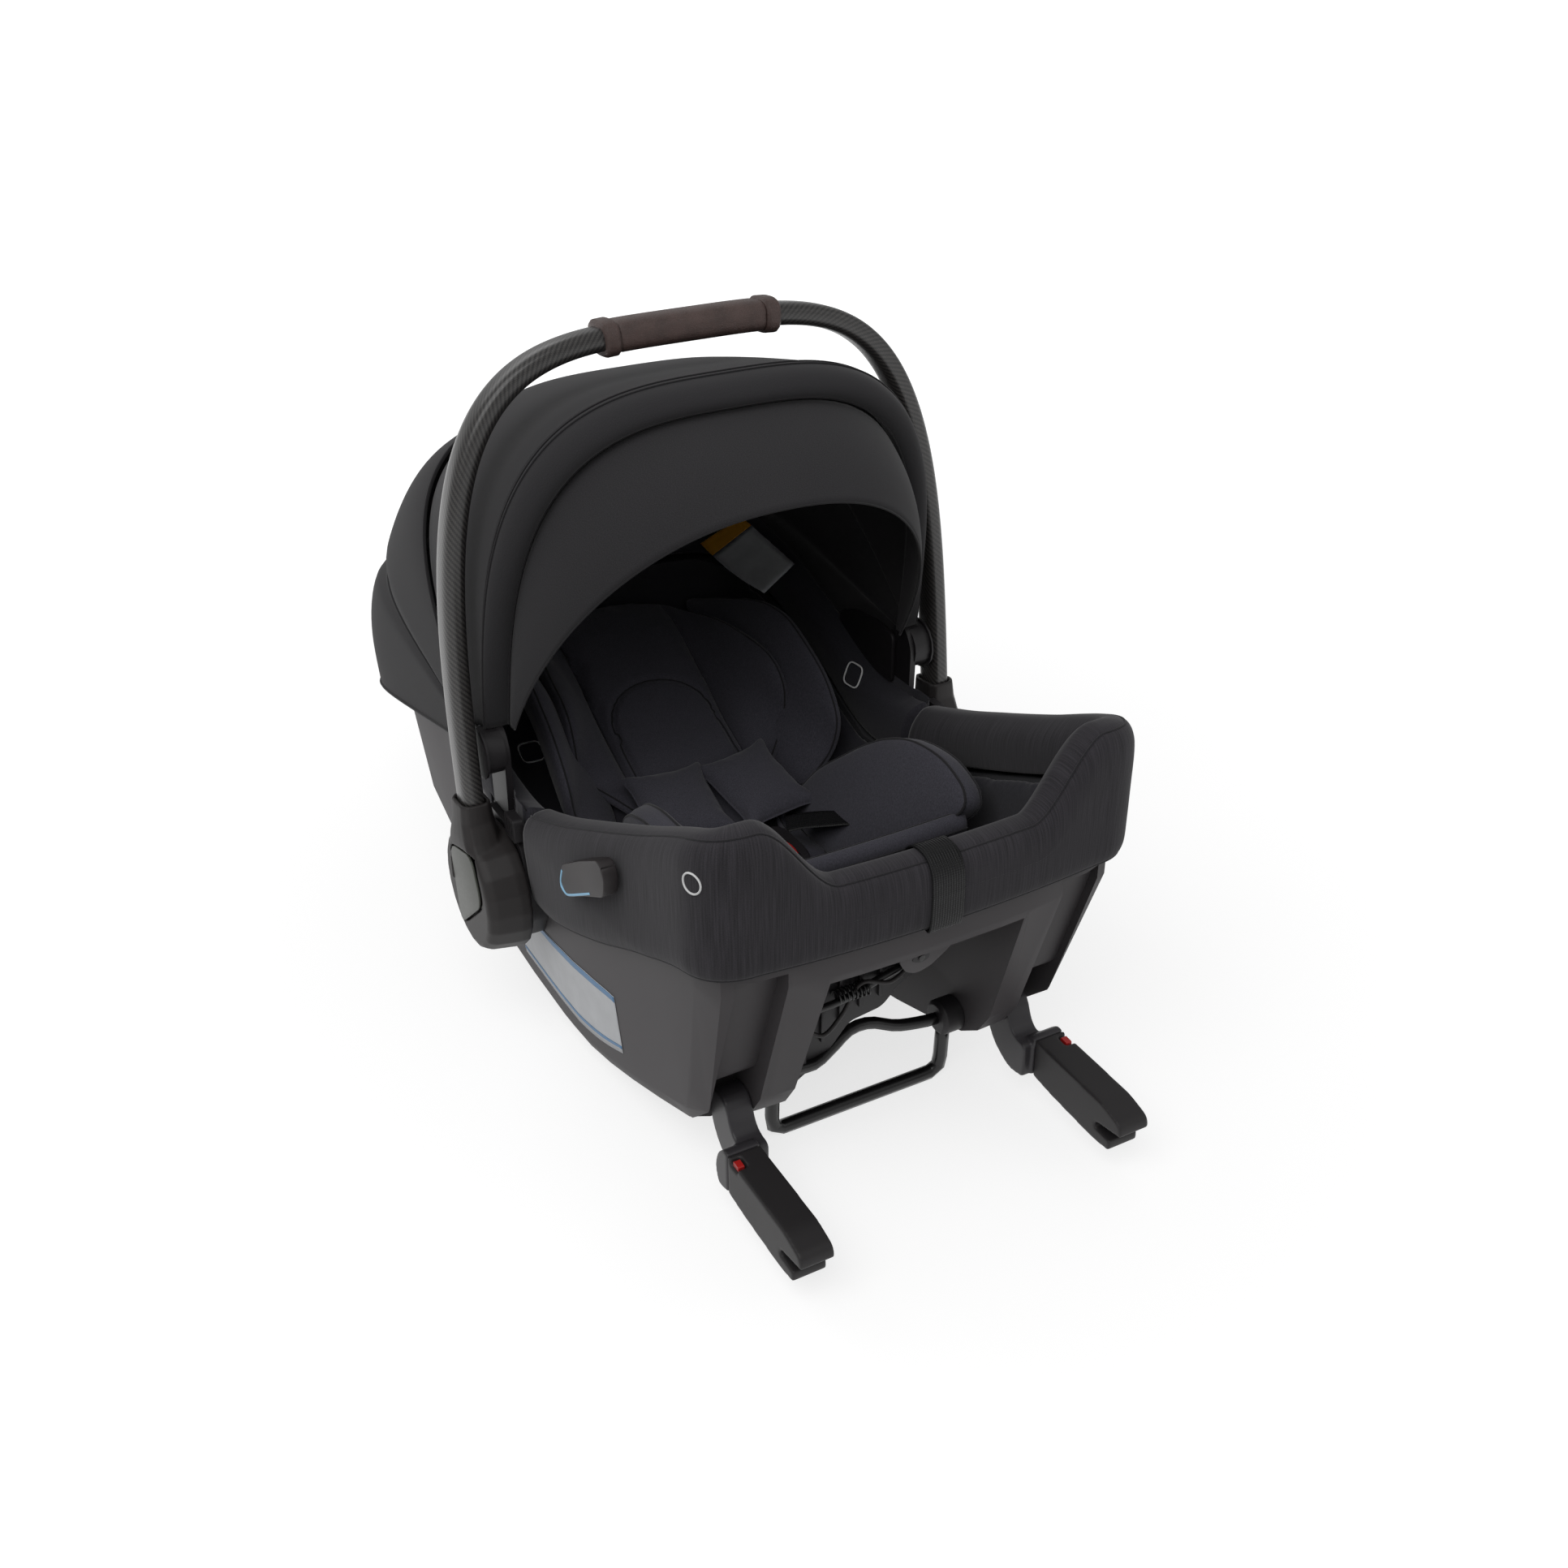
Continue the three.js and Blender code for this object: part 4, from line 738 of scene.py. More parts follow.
def dress(names, material, bevel):
    # a CAD node keeps its shape, and gets softened edges and its finish
    for name in names.split():
        piece = nodes[name]
        piece.data.materials.clear()
        piece.data.materials.append(finish[material])
        piece.data.shade_smooth()
        modify(piece, "WELD", merge_threshold=0.00003)
        if bevel:
            limit = math.radians(28 if name == "shell" else 35)
            modify(piece, "BEVEL", limit_method="ANGLE", angle_limit=limit, width=bevel / 1000, segments=2,
                   harden_normals=True, use_clamp_overlap=True)
        modify(piece, "WEIGHTED_NORMAL", keep_sharp=True)


# padded rim: the front half of the seat cover and the head half

rimForm = {"step": 3.0, "puff": 12.0, "flap": 26.0, "perSpan": 4}


def rimSection(points, normals, crest, hem, puff, flap):
    # rows of a hooked section round the outline: hem, outer face, crest, inner face, then the hidden slot
    inside = -(body["wall"] + body["gap"])
    top = crest - 6.5
    flat = np.zeros_like(hem)
    seen = [(0.6, hem + 7), (puff * 0.62 + 0.4, hem + 0.6), (puff * 0.96, hem + 9), (puff, hem + 26),
            (puff, (hem + crest) / 2), (puff * 0.99, crest - 26), (puff * 0.8, crest - 11),
            (puff * 0.24, crest - 2), (-puff * 0.9, crest), (-flap * 0.72, crest - 5.5),
            (-flap * 0.96, crest - 16), (-flap, crest - 30), (-flap + 3, crest - 48)]
    hidden = [(inside, crest - 49), (inside, (crest - 49 + top) / 2), (inside, top), (0.6, top)]
    seen, hidden = ([[out + flat, z + flat] for out, z in part] for part in (seen, hidden))
    loop = np.concatenate([spline(seen, rimForm["perSpan"]), hidden])
    rows = [wallPoints(points, normals, z, out) for out, z in loop]
    return np.stack(rows, 1)


whole = planOutline(rimForm["step"])
wholeNormals = outlineNormals(whole)
wholeCrest = crestOf(whole)
frontPart = whole[:, 1] <= body["coverRear"] + 0.5
frontLine, frontNormals, frontCrest = whole[frontPart], wholeNormals[frontPart], wholeCrest[frontPart]
frontHem = rimHem(frontLine[:, 1])
rows = rimSection(frontLine, frontNormals, frontCrest, frontHem, rimForm["puff"], rimForm["flap"])
seatCover = skin("seatCover", rows, closed=True, caps=True)
wear(seatCover, "rim", "carrier", ["seat_cover"])
seamLine = wallPoints(frontLine, frontNormals, frontCrest - 2.0, rimForm["puff"] * 0.24) + [0, 0, 0.4]
groove(seatCover, [seamLine], 3.2, 1.1)
cord("rimSeam", seamLine + [0, 0, -0.9], 0.75, "piping")
hemLine = wallPoints(frontLine, frontNormals, frontHem + 0.9, rimForm["puff"] * 0.62 + 0.2)
cord("rimHemCord", hemLine, 1.5, "piping")
print("seat cover ready")


def ringOn(tree, centre, radius, lift=0.3):
    # a circle laid on a surface round the place nearest to centre
    place, normal, _, _ = tree.find_nearest(Vector(centre) / 1000)
    side = normal.cross(Vector((0, 0, 1))).normalized()
    up = side.cross(normal)
    angles = np.linspace(0, 2 * math.pi, 49)
    spots = [(place + (side * math.cos(a) + up * math.sin(a)) * radius / 1000) * 1000 for a in angles]
    return ontoSurface(tree, np.array(spots), lift)


ring = {"centre": (-182, -319, 318), "radius": 7.6}
ringLine = ringOn(treeOf(seatCover), ring["centre"], ring["radius"])
cord("stitchedRingLeft", ringLine, 0.8, "thread", sides=6, caps=False)

headForm = {"puff": 3.5, "flap": 22.0, "low": 44.0, "lowHead": 62.0, "front": -40.0, "sideHem": 207.5}
behind = whole[:, 1] >= headForm["front"]
leftEnd = np.argmax(~behind)
order = np.r_[np.arange(len(whole) - np.argmax(~behind[::-1]), len(whole)), np.arange(1, leftEnd)]
headOutline, headNormals, headCrest = whole[order], wholeNormals[order], wholeCrest[order]
depth = lerp(headForm["low"], headForm["lowHead"], smooth(headOutline[:, 1], 60, 200))
bracketDip = 1 - smooth(np.abs(headOutline[:, 1] - 8), 20, 30)
beside = smooth(headOutline[:, 1], 44, 66)
headHem = np.maximum(headCrest - depth, lerp(headForm["sideHem"], 0, beside))
headPuff = headForm["puff"] * (1 - bracketDip * 1.02)
rows = rimSection(headOutline, headNormals, headCrest, headHem, headPuff, headForm["flap"])
headCover = skin("headCover", rows, closed=True, caps=True)
seatWear(headCover, "lining", "head_cover")
print("head cover ready")


def facing(trees, point):
    # the first surface on the line from the camera through a point, with its normal
    eye = Vector(studio["eye"])
    line = (Vector(point) / 1000 - eye).normalized()
    hits = [hit for hit in (tree.ray_cast(eye, line) for tree in trees) if hit[0] is not None]
    place, normal, _, _ = min(hits, key=lambda hit: hit[3])
    return place, (normal if normal.dot(line) < 0 else -normal)


def stitchedSquare(name, trees, centre, half):
    # a rounded square of thread laid on the first surface that the camera sees there
    place, normal = facing(trees, centre)
    side = normal.cross(Vector((0, 0, 1))).normalized()
    up = side.cross(normal)
    spots = []
    for a in np.linspace(0, 2 * math.pi, 49):
        c, s = math.cos(a), math.sin(a)
        k = (abs(c) ** 4 + abs(s) ** 4) ** -0.25
        spots.append(np.array(place + (side * c + up * s) * (k * half / 1000) + normal * 0.0004) * 1000)
    cord(name, np.array(spots), 0.8, "thread", sides=6, caps=False)


# seat bowl lining

seatPad = puffed("seat_pad", "seatPad", voxel=4.5, shrink=0.0, rounds=14, cap=0)
seatWear(seatPad, "lining", "seat_pad")
print("seat pad ready")
linings = [treeOf(headCover), treeOf(seatPad)]
stitchedSquare("stitchedSquareRight", linings, (150, 24, 239), 10.5)
stitchedSquare("stitchedSquareLeft", linings, (-160, 21, 245), 10.5)


def seatSlope(y):
    return np.arctan((seatLine(y + 2) - seatLine(y - 2)) / 4)


def onSeat(y, up):
    return seatLine(y) + up / np.cos(seatSlope(y))


# soft pads

insert = puffed("infant_insert", "infantInsert", voxel=4.0, shrink=1.6, rounds=10, cap=5.0)
co = coordsOf(insert.data)
narrow = lerp(1.0, 0.82, smooth(co[:, 1] * 1000, -70, 20)) + 0.1 * smooth(co[:, 1] * 1000, 90, 220)
co[:, 0] *= narrow
setCoords(insert.data, co)
t = np.linspace(0, math.pi, 60)
headArch = np.array([(50 * math.cos(a), 92 + 50 * math.sin(a) ** 0.7) for a in t])
legs = np.array([(50.0, y) for y in np.linspace(-70, 92, 40)])
panelSeam = np.concatenate([legs, headArch, legs[::-1] * [-1, 1]])
panelSeam = np.array([(x, y, float(onSeat(y, 21))) for x, y in resample(panelSeam, 3)])
groove(insert, [panelSeam], 6.0, 3.0)
seatWear(insert, "knit", "infant_insert")
cord("insertPiping", ontoSurface(treeOf(insert), panelSeam, -0.1), 0.9, "piping")

wings = {"thick": 20.0, "gusset": 6.0}
wingLoops = {
    "inner": [(60, 237, 243), (78, 219, 240), (90, 175, 246), (98, 135, 245), (103, 100, 241), (105, 80, 231),
              (106, 69, 213), (104, 67, 190), (96, 62, 174), (80, 47, 162), (64, 34, 150), (60, 66, 148),
              (60, 104, 163), (60, 144, 187), (60, 184, 210), (58, 216, 230)],
    "outer": [(90, 236, 241), (108, 230, 242), (118, 182, 258), (124, 147, 267), (128, 119, 268),
              (130, 97, 263), (132, 59, 244), (133, 39, 229), (133, 23, 209), (132, 18, 193), (128, 20, 172),
              (116, 20, 156), (98, 22, 140), (84, 40, 142), (84, 80, 156), (84, 120, 178), (84, 170, 206),
              (86, 212, 230)],
}
for side, sign in bothSides:
    for part, loop in wingLoops.items():
        wing, edges = pillow(f"{part}Wing{side}", mirrored(loop, sign), wings["thick"], wings["gusset"])
        seatWear(wing, "knit", "head_support")
        piped(f"{part}WingPiping{side}", edges[:1] if sign < 0 else edges[1:], 0.9)

bolsters = {
    "loop": [(78, -1, 136), (87, -10, 159), (95, -26, 182), (103, -48, 202), (110, -69, 220), (115, -90, 235),
             (119, -110, 245), (121, -131, 252), (122, -154, 255), (122, -174, 255), (121, -193, 251),
             (119, -208, 245), (115, -214, 234), (109, -200, 216), (99, -166, 188), (88, -128, 158),
             (77, -90, 130), (75, -58, 126), (75, -26, 128)],
    "thick": 17.0, "gusset": 16.0,
}
chests = {"half": (36.0, 41.0), "x": 37.5, "y": -1.0, "up": 36.0, "thick": 25.0,
          "turn": {"Left": -3, "Right": 9}}
for side, sign in bothSides:
    loop = mirrored(bolsters["loop"], sign)
    bolster, edges = pillow(f"hipBolster{side}", loop, bolsters["thick"], bolsters["gusset"])
    seatWear(bolster, "knit", f"hip_bolster_{side.lower()}")
    piped(f"bolsterPiping{side}", edges, 1.2)
    a, b = chests["half"]
    corners = [(a, b), (a * 0.52, b * 0.93), (-a * 0.52, b * 0.93), (-a, b), (-a * 0.92, b * 0.5),
               (-a * 0.92, -b * 0.5), (-a, -b), (-a * 0.52, -b * 0.93), (a * 0.52, -b * 0.93), (a, -b),
               (a * 0.92, -b * 0.5), (a * 0.92, b * 0.5)]
    turn = math.radians(chests["turn"][side])
    c, s = math.cos(turn), math.sin(turn)
    laid = [(sign * chests["x"] + x * c - y * s, chests["y"] + x * s + y * c) for x, y in corners]
    loop = [(x, y, float(onSeat(y, chests["up"]))) for x, y in laid]
    chest, edges = pillow(f"chestPad{side}", loop, chests["thick"], gusset=1.0, wrinkle=0.8)
    seatWear(chest, "knit", f"shoulder_pad_{side.lower()}")

lip = {"half": 119.0,
       "section": [(-146, 138), (-160, 150), (-178, 178), (-193, 208), (-199, 220), (-205, 225), (-211, 222),
                   (-213, 214), (-208, 200), (-196, 178), (-176, 152), (-158, 136)]}
section = spline(np.array(lip["section"], float), 4, closed=True)
rows = []
for x in np.linspace(-lip["half"], lip["half"], 60):
    share = abs(x) / lip["half"]
    ends = 1 - 0.5 * smooth(share, 0.93, 1.0)
    middle = section.mean(0)
    narrowed = middle + (section - middle) * ends
    rows.append([(x, y - 3 * share**2, z + 5 * share**2) for y, z in narrowed])
insertFront = skin("insertFront", rows, closed=True, caps=True)
seatWear(insertFront, "knit", "infant_insert")
for number, at in enumerate((4.4, 7.0)):
    edge = np.array([row[int(round(at * 4))] for row in rows])
    cord(f"lipPiping{number}", edge, 0.9, "piping")

crotchPad = puffed("crotch_pad", "crotchPad", voxel=3.0, shrink=0.5, rounds=6, cap=3.0)
seatWear(crotchPad, "knit", "crotch_pad")
print("pads ready")

# belts

belt = {"thick": 1.5, "rowStep": 2.0}


def ribbon(name, line, sideways, half, thick, edge=0.5):
    # flat belt with rounded edges along a line
    line = np.asarray(line, float)
    ahead = np.gradient(line, axis=0)
    ahead /= np.linalg.norm(ahead, axis=1)[:, None]
    side = np.asarray(sideways, float) - ahead * np.sum(np.asarray(sideways, float) * ahead, axis=1)[:, None]
    side /= np.linalg.norm(side, axis=1)[:, None]
    up = np.cross(side, ahead)
    h, t = half, thick / 2
    across = [lerp(-h + edge, h - edge, k / 8) for k in range(1, 8)]
    back = [lerp(h - edge, -h + edge, k / 8) for k in range(1, 8)]
    section = [(-h, -t * 0.4), (-h + edge, -t), *[(a, -t) for a in across], (h - edge, -t), (h, -t * 0.4),
               (h, t * 0.4), (h - edge, t), *[(a, t) for a in back], (-h + edge, t), (-h, t * 0.4)]
    rows = np.stack([line + side * a + up * b for a, b in section], 1)
    made = skin(name, rows, closed=True, caps=True)
    made["run"] = float(np.linalg.norm(np.diff(line, axis=0), axis=1).sum())
    return made


def beltPiece(name, line, side, half, node):
    line = resample(spline(line, 8), belt["rowStep"])
    made = ribbon(name, line, np.tile(np.array(side, float), (len(line), 1)), half, belt["thick"])
    wear(made, "web", "carrier", [node])


lift = 1.6 + 18 + 1 + 0.8
for side, sign in (("left", -1), ("right", 1)):
    ys = np.array([205, 175, 145, 115, 85, 55, 25, -5, -35, -62], float)
    xs = lerp(36, 19, smooth(-ys, 0, 62))
    sunk = 5 * smooth(-ys, 10, 62)  # it passes through a slot under the chest pad
    zs = onSeat(ys, lerp(9, lift, smooth(-ys, -62, -30)) + sunk)
    beltPiece(f"shoulderStrap{side.title()}", np.stack([sign * xs, ys, zs], 1), (1, 0, 0), 12.8,
              f"shoulder_strap_{side}")
    hip = np.array([(93, -96, 44), (72, -84, 46), (50, -66, 42), (35, -58, 38)], float)
    hip = np.stack([sign * hip[:, 0], hip[:, 1], onSeat(hip[:, 1], hip[:, 2])], 1)
    beltPiece(f"hipStrap{side.title()}", hip, (0, 1, 0), 10.8, f"hip_strap_{side}")
crotch = np.array([(0, -130.1, float(onSeat(-130.1, up))) for up in (0, 12, 26, 38)])
beltPiece("crotchStrap", crotch, (1, 0, 0), 16.8, "crotch_strap")

# the front strap lies over the rim cloth, a little clear of it
point = np.array([[0, body["frontY"] - body["frontBow"]]])
crest, hem, clear = float(crestOf(point)[0]), 241.0, 0.5 + 0.8
over = [(-26 - clear, crest - 46), (-26 - clear, crest - 30), (-25.2 - clear, crest - 15),
        (-19.4 - clear, crest - 4), (-11, crest + clear), (3, crest - 1.5 + clear),
        (9.9 + clear, crest - 10.5), (12 + clear, crest - 26), (12 + clear, (crest + hem) / 2),
        (12 + clear, hem + 26), (11.6 + clear, hem + 9), (8.6 + clear, hem - 0.5), (0.5 + clear, hem + 2.5)]
line = np.array([wallPoints(point, np.array([[0, -1.0]]), z, out)[0] for out, z in over])
beltPiece("frontStrap", line, (1, 0, 0), 13.5, "front_strap")
print("belts ready")

# canopy: cloth over bows that turn about its pins; reach is how far a bow stands out, square how boxy it is

canopy = {
    "y": 8.0, "z": 265.0, "foot": 20.4, "bow": 287.0, "hump": 360.0, "humpTop": 371.0, "square": 3.25,
    "frontHalf": 201.8, "middleHalf": 204.2, "rearHalf": 207.0,
    "brimTurn": -6.0, "frontTurn": 34.0, "middleTurn": 48.0,
}
mounts = ["canopy_mount_left", "canopy_mount_right"]


def chordReach(low, lowReach, high, highReach):
    # reach of a cloth stretched straight between two bows
    at = lambda turn, reach: reach * np.array([math.sin(math.radians(turn)), math.cos(math.radians(turn))])
    first = at(low, lowReach)
    along = at(high, highReach) - first
    cross = lambda a, b: a[0] * b[1] - a[1] * b[0]
    return lambda turn: cross(first, along) / cross(at(turn, 1.0), along)


def bow(turn, half, reach, square, columns=120):
    # one arch of the canopy, evenly spaced along its length
    start = math.asin((canopy["foot"] / reach) ** (square / 2))
    angle = np.linspace(start, math.pi - start, 900)
    c, s = np.cos(angle), np.sin(angle)
    x = half * np.sign(c) * np.abs(c) ** (2 / square)
    out = reach * np.abs(s) ** (2 / square)
    x, out = resample(np.stack([x, out], 1), count=columns).T
    r = math.radians(turn)
    return np.stack([x, canopy["y"] + out * math.sin(r), canopy["z"] + out * math.cos(r)], 1)


def sheetOf(name, rows, thick):
    # a closed thin skin: the grid, and the same grid moved inward by its thickness, its open ends filled
    n = np.cross(np.gradient(rows, axis=1), np.gradient(rows, axis=0))
    n /= np.linalg.norm(n, axis=2)[:, :, None]
    if np.sum(n * (rows - [0, 60, 250.0])) < 0:
        n = -n
    inner = rows - n * thick
    made = skin(name, np.concatenate([rows, inner[:, ::-1]], axis=1), closed=True)
    edited(made.data, closedEnds, sameNormals)
    return made


def cloth(name, rows, thick, rides, replaced, rests, held="stretched"):
    rows = np.array(rows)
    made = sheetOf(name, rows, thick)
    wear(made, "canopy", rides, replaced)
    a, b = np.diff(rows, axis=0)[:, :-1], np.diff(rows, axis=1)[:-1]
    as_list(rests)
    return made


main = {"low": -5.9, "high": 48.2, "swell": 1.5, "crease": 1.4, "creaseWide": 3.0, "squareEnd": 3.2}
frontReach = chordReach(canopy["brimTurn"], canopy["bow"], canopy["frontTurn"], canopy["bow"] + 2.5)
middleReach = chordReach(canopy["frontTurn"], canopy["bow"] + 2.5, canopy["middleTurn"], canopy["bow"] + 8)
frontTurns = np.linspace(main["low"], canopy["frontTurn"], 26)
mainRows = []
for turn in np.concatenate([frontTurns, np.linspace(35.5, main["high"], 9)]):
    past = turn - canopy["frontTurn"]
    along = turn - main["low"]
    reach = float(frontReach(turn) if past <= 0 else middleReach(turn))
    if past <= 0:
        reach += main["swell"] * math.sin(math.pi * along / (canopy["frontTurn"] - main["low"]))
    share = along / (main["high"] - main["low"])
    crease = main["crease"] * math.exp(-(past / main["creaseWide"]) ** 2)
    half = lerp(canopy["frontHalf"], canopy["middleHalf"], share)
    mainRows.append(bow(turn, half, reach - crease, lerp(canopy["square"], main["squareEnd"], share)))
canopyMain = cloth("canopyMain", mainRows, 1.3, "carrier", ["canopy_front", "canopy_middle"], mounts)
canopyMain.parent = None
del canopyMain["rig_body"]
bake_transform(canopyMain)
print("canopy front ready")

# the brim is a padded roll that turns under to where the drape starts; its places are a turn and an inset
brim = {
    "section": [(-6.0, 0.2), (-7.6, -0.6), (-9.2, 0.1), (-10.6, 2.6), (-11.6, 6.6), (-12.0, 11.0),
                (-11.8, 15.2), (-11.0, 18.6), (-9.6, 20.0), (-8.0, 19.6), (-6.6, 15.0), (-6.0, 7.0)],
    "piping": [(-5.9, -0.3), (-7.2, -1.1), (-10.9, 18.9)],
}


def brimBow(turn, inset, columns=120):
    return bow(turn, canopy["frontHalf"] - inset, canopy["bow"] - inset, canopy["square"], columns)


brimRows = np.array([brimBow(turn, inset) for turn, inset in brim["section"]])
brimRows = np.transpose(spline(brimRows, 4, closed=True), (1, 0, 2))
canopyBrim = skin("canopyBrim", brimRows, closed=True, caps=True)
wear(canopyBrim, "canopy", "canopy_front", ["canopy_brim"])
for number, (turn, inset) in enumerate(brim["piping"]):
    cord(f"brimPiping{number}", brimBow(turn, inset, 160), 0.8, "tape", "canopy_front")

drape = {"low": -32, "high": -10.2, "half": 181.6, "hemHalf": 180.9, "rows": 20, "swell": 3.0}
drapeReach = profile([[-32, 248], [-10, 266]])
drapeSquare = profile([[-32, 2.25], [-21, 2.75], [-10, 3.2]])
drapeRows = []
for row in range(drape["rows"]):
    share = row / (drape["rows"] - 1)
    turn = lerp(drape["low"], drape["high"], share)
    swollen = drape["swell"] * math.sin(math.pi * share)
    reach = float(drapeReach(turn)) + swollen
    drapeRows.append(bow(turn, drape["half"] + swollen * 0.35, reach, float(drapeSquare(turn))))
cloth("drapePanel", drapeRows, 1.1, "drape", ["drape"], ["canopyBrim"], held="hung")
for number, turn in enumerate((-32.0, -31.2)):
    hemBow = bow(turn, drape["hemHalf"] - number * 0.2, float(drapeReach(turn)) - 0.6, 2.25, 160)
    cord(f"drapeHem{number}", hemBow, 0.8, "tape", "drape")
print("brim and drape ready")

# the rear swells out between its seams and is drawn in at the middle one
rearForm = {"low": 48.5, "seam": 80.0, "high": 104.0, "frontPuff": 9.0, "rearPuff": 12.0, "notch": 12.0,
            "notchWide": 2.2}
frontSpan, rearSpan = rearForm["seam"] - rearForm["low"], rearForm["high"] - rearForm["seam"]
rearStart = canopy["bow"] + 12.0
rearShares = [(48, 0), (60, 0.3), (75, 0.64), (95, 0.95), (104, 1)]
rearReach = profile([[turn, lerp(rearStart, canopy["hump"], share)] for turn, share in rearShares])
rearSquare = profile([[48, 3.2], [75, 4.8], [95, 8.5], [104, 9]])
rearRows = []
for turn in np.linspace(rearForm["low"], rearForm["high"], 40):
    past = turn - rearForm["seam"]
    if past < 0:
        puff = rearForm["frontPuff"] * math.sin(math.pi * (turn - rearForm["low"]) / frontSpan)
    else:
        puff = rearForm["rearPuff"] * math.sin(math.pi * past / rearSpan)
    notch = rearForm["notch"] * math.exp(-(past / rearForm["notchWide"]) ** 2)
    reach = min(float(rearReach(turn)) + puff - notch, canopy["humpTop"])
    rearRows.append(bow(turn, canopy["rearHalf"] - notch * 0.25, reach, float(rearSquare(turn)), 140))
cloth("canopyRear", rearRows, 1.5, "carrier", ["canopy_rear"], mounts)
for number, (turn, tuck) in enumerate(((48.6, 0), (80.0, 1), (103.6, 0))):
    half = canopy["rearHalf"] + 0.3 - 3.0 * tuck
    reach = float(rearReach(turn)) - rearForm["notch"] * tuck + 0.4
    seam = bow(turn, half, reach, float(rearSquare(turn)), 160)
    cord(f"rearPiping{number}", seam, 1.3, "tape")
print("canopy ready")

# handle

arch = {"half": 221.4, "height": 424.0, "power": 4.0, "tilt": math.radians(6.2), "y": -8.0, "z": 150.0,
        "foot": 58.0, "grip": 62.0, "depth": 28.0, "thick": 18.0, "square": 3.2}


def archPoint(angle):
    c, s = np.cos(angle), np.sin(angle)
    x = arch["half"] * np.sign(c) * np.abs(c) ** (2 / arch["power"])
    rise = arch["height"] * np.abs(s) ** (2 / arch["power"])
    y, z = arch["y"] + rise * math.sin(arch["tilt"]), arch["z"] + rise * math.cos(arch["tilt"])
    return np.stack([x, y, z], -1)


def angleAtRise(rise):
    return math.asin((rise / arch["height"]) ** (arch["power"] / 2))


def angleAtX(x):
    return math.acos((abs(x) / arch["half"]) ** (arch["power"] / 2))


def archSweep(name, low, high, grow, step=2.5, ends=0.0):
    # the handle's section, grown a little, swept along its arch and drawn in at the ends
    line = resample(archPoint(np.linspace(low, high, 1500)), step)
    ahead = np.gradient(line, axis=0)
    ahead /= np.linalg.norm(ahead, axis=1)[:, None]
    across = np.array([0, math.cos(arch["tilt"]), -math.sin(arch["tilt"])])
    outward = np.cross(ahead, across)
    outward /= np.linalg.norm(outward, axis=1)[:, None]
    t = (np.arange(32) + 0.5) * 2 * math.pi / 32
    c, s = np.cos(t), np.sin(t)
    k = (np.abs(c) ** arch["square"] + np.abs(s) ** arch["square"]) ** (-1 / arch["square"])
    rows = []
    for number, (p, o) in enumerate(zip(line, outward)):
        shrink = ends * (1 - min(1, min(number, len(line) - 1 - number) / 2))
        a = (arch["depth"] / 2 + grow - shrink) * c * k
        b = (arch["thick"] / 2 + grow - shrink) * s * k
        rows.append(p + a[:, None] * across + b[:, None] * o)
    return skin(name, rows, closed=True, caps=True)


tubeStart = angleAtRise(arch["foot"])
tubePiece = archSweep("handleTube", tubeStart, math.pi - tubeStart, 0.0)
wear(tubePiece, "carbon", "handle", ["handle_tube"])
gripLow, gripHigh = angleAtX(arch["grip"]), math.pi - angleAtX(arch["grip"])
gripPiece = archSweep("handleGrip", gripLow, gripHigh, 3.1, step=1.5, ends=0.6)
wear(gripPiece, "leather", "handle", ["handle_grip"])
for side, sign in (("right", 1), ("left", -1)):
    inner, outer = angleAtX(arch["grip"] + 0.3), angleAtX(arch["grip"] + 12.3)
    low, high = (outer, inner) if sign > 0 else (math.pi - inner, math.pi - outer)
    cuff = archSweep(f"gripCuff{side.title()}", low, high, 4.9, step=1.0, ends=1.6)
    wear(cuff, "leather", "handle", [f"grip_cuff_{side}"])
print("handle ready")

# mouldings with their own form

guide = {
    "face": 205.5, "depth": 11.5, "soft": 2.4, "corner": 9.0, "markRadius": 1.15,
    "corners": [(-150, 246), (-186, 269), (-221, 289), (-231, 281), (-228, 262), (-195, 244), (-158, 222),
                (-145, 229)],
    "mark": [(-151, 241.5), (-147, 230.5), (-148.5, 225), (-157, 224), (-167, 229), (-181, 237.5),
             (-203, 251)],
}
clip = {"x": 186.0, "depth": 4.0, "soft": 1.2, "corner": 6.0,
        "corners": [(14, 226), (40, 227), (75, 236), (104, 247), (108, 262), (80, 274), (40, 278), (14, 274)]}
for side, sign in bothSides:
    middle = guide["face"] - guide["depth"] / 2
    corners = [(sign * middle, y, z) for y, z in guide["corners"]]
    plate(f"beltGuide{side}", corners, guide["depth"], guide["soft"], "collar", guide["corner"],
          [f"belt_guide_{side.lower()}"])
    mark = spline(np.array([(sign * (guide["face"] - 0.5), y, z) for y, z in guide["mark"]]), 5)
    cord(f"guideMark{side}", mark, guide["markRadius"], "blue", replaced=[f"belt_guide_mark_{side.lower()}"])
for side, sign in bothSides:
    corners = [(sign * clip["x"], y, z) for y, z in clip["corners"]]
    plate(f"canopyClip{side}", corners, clip["depth"], clip["soft"], "dark", clip["corner"])


def oval(x, y, z, wide, tall, count):
    angles = np.arange(count) * 2 * math.pi / count
    return [(x + wide * math.cos(a), y, z + tall * math.sin(a)) for a in angles]


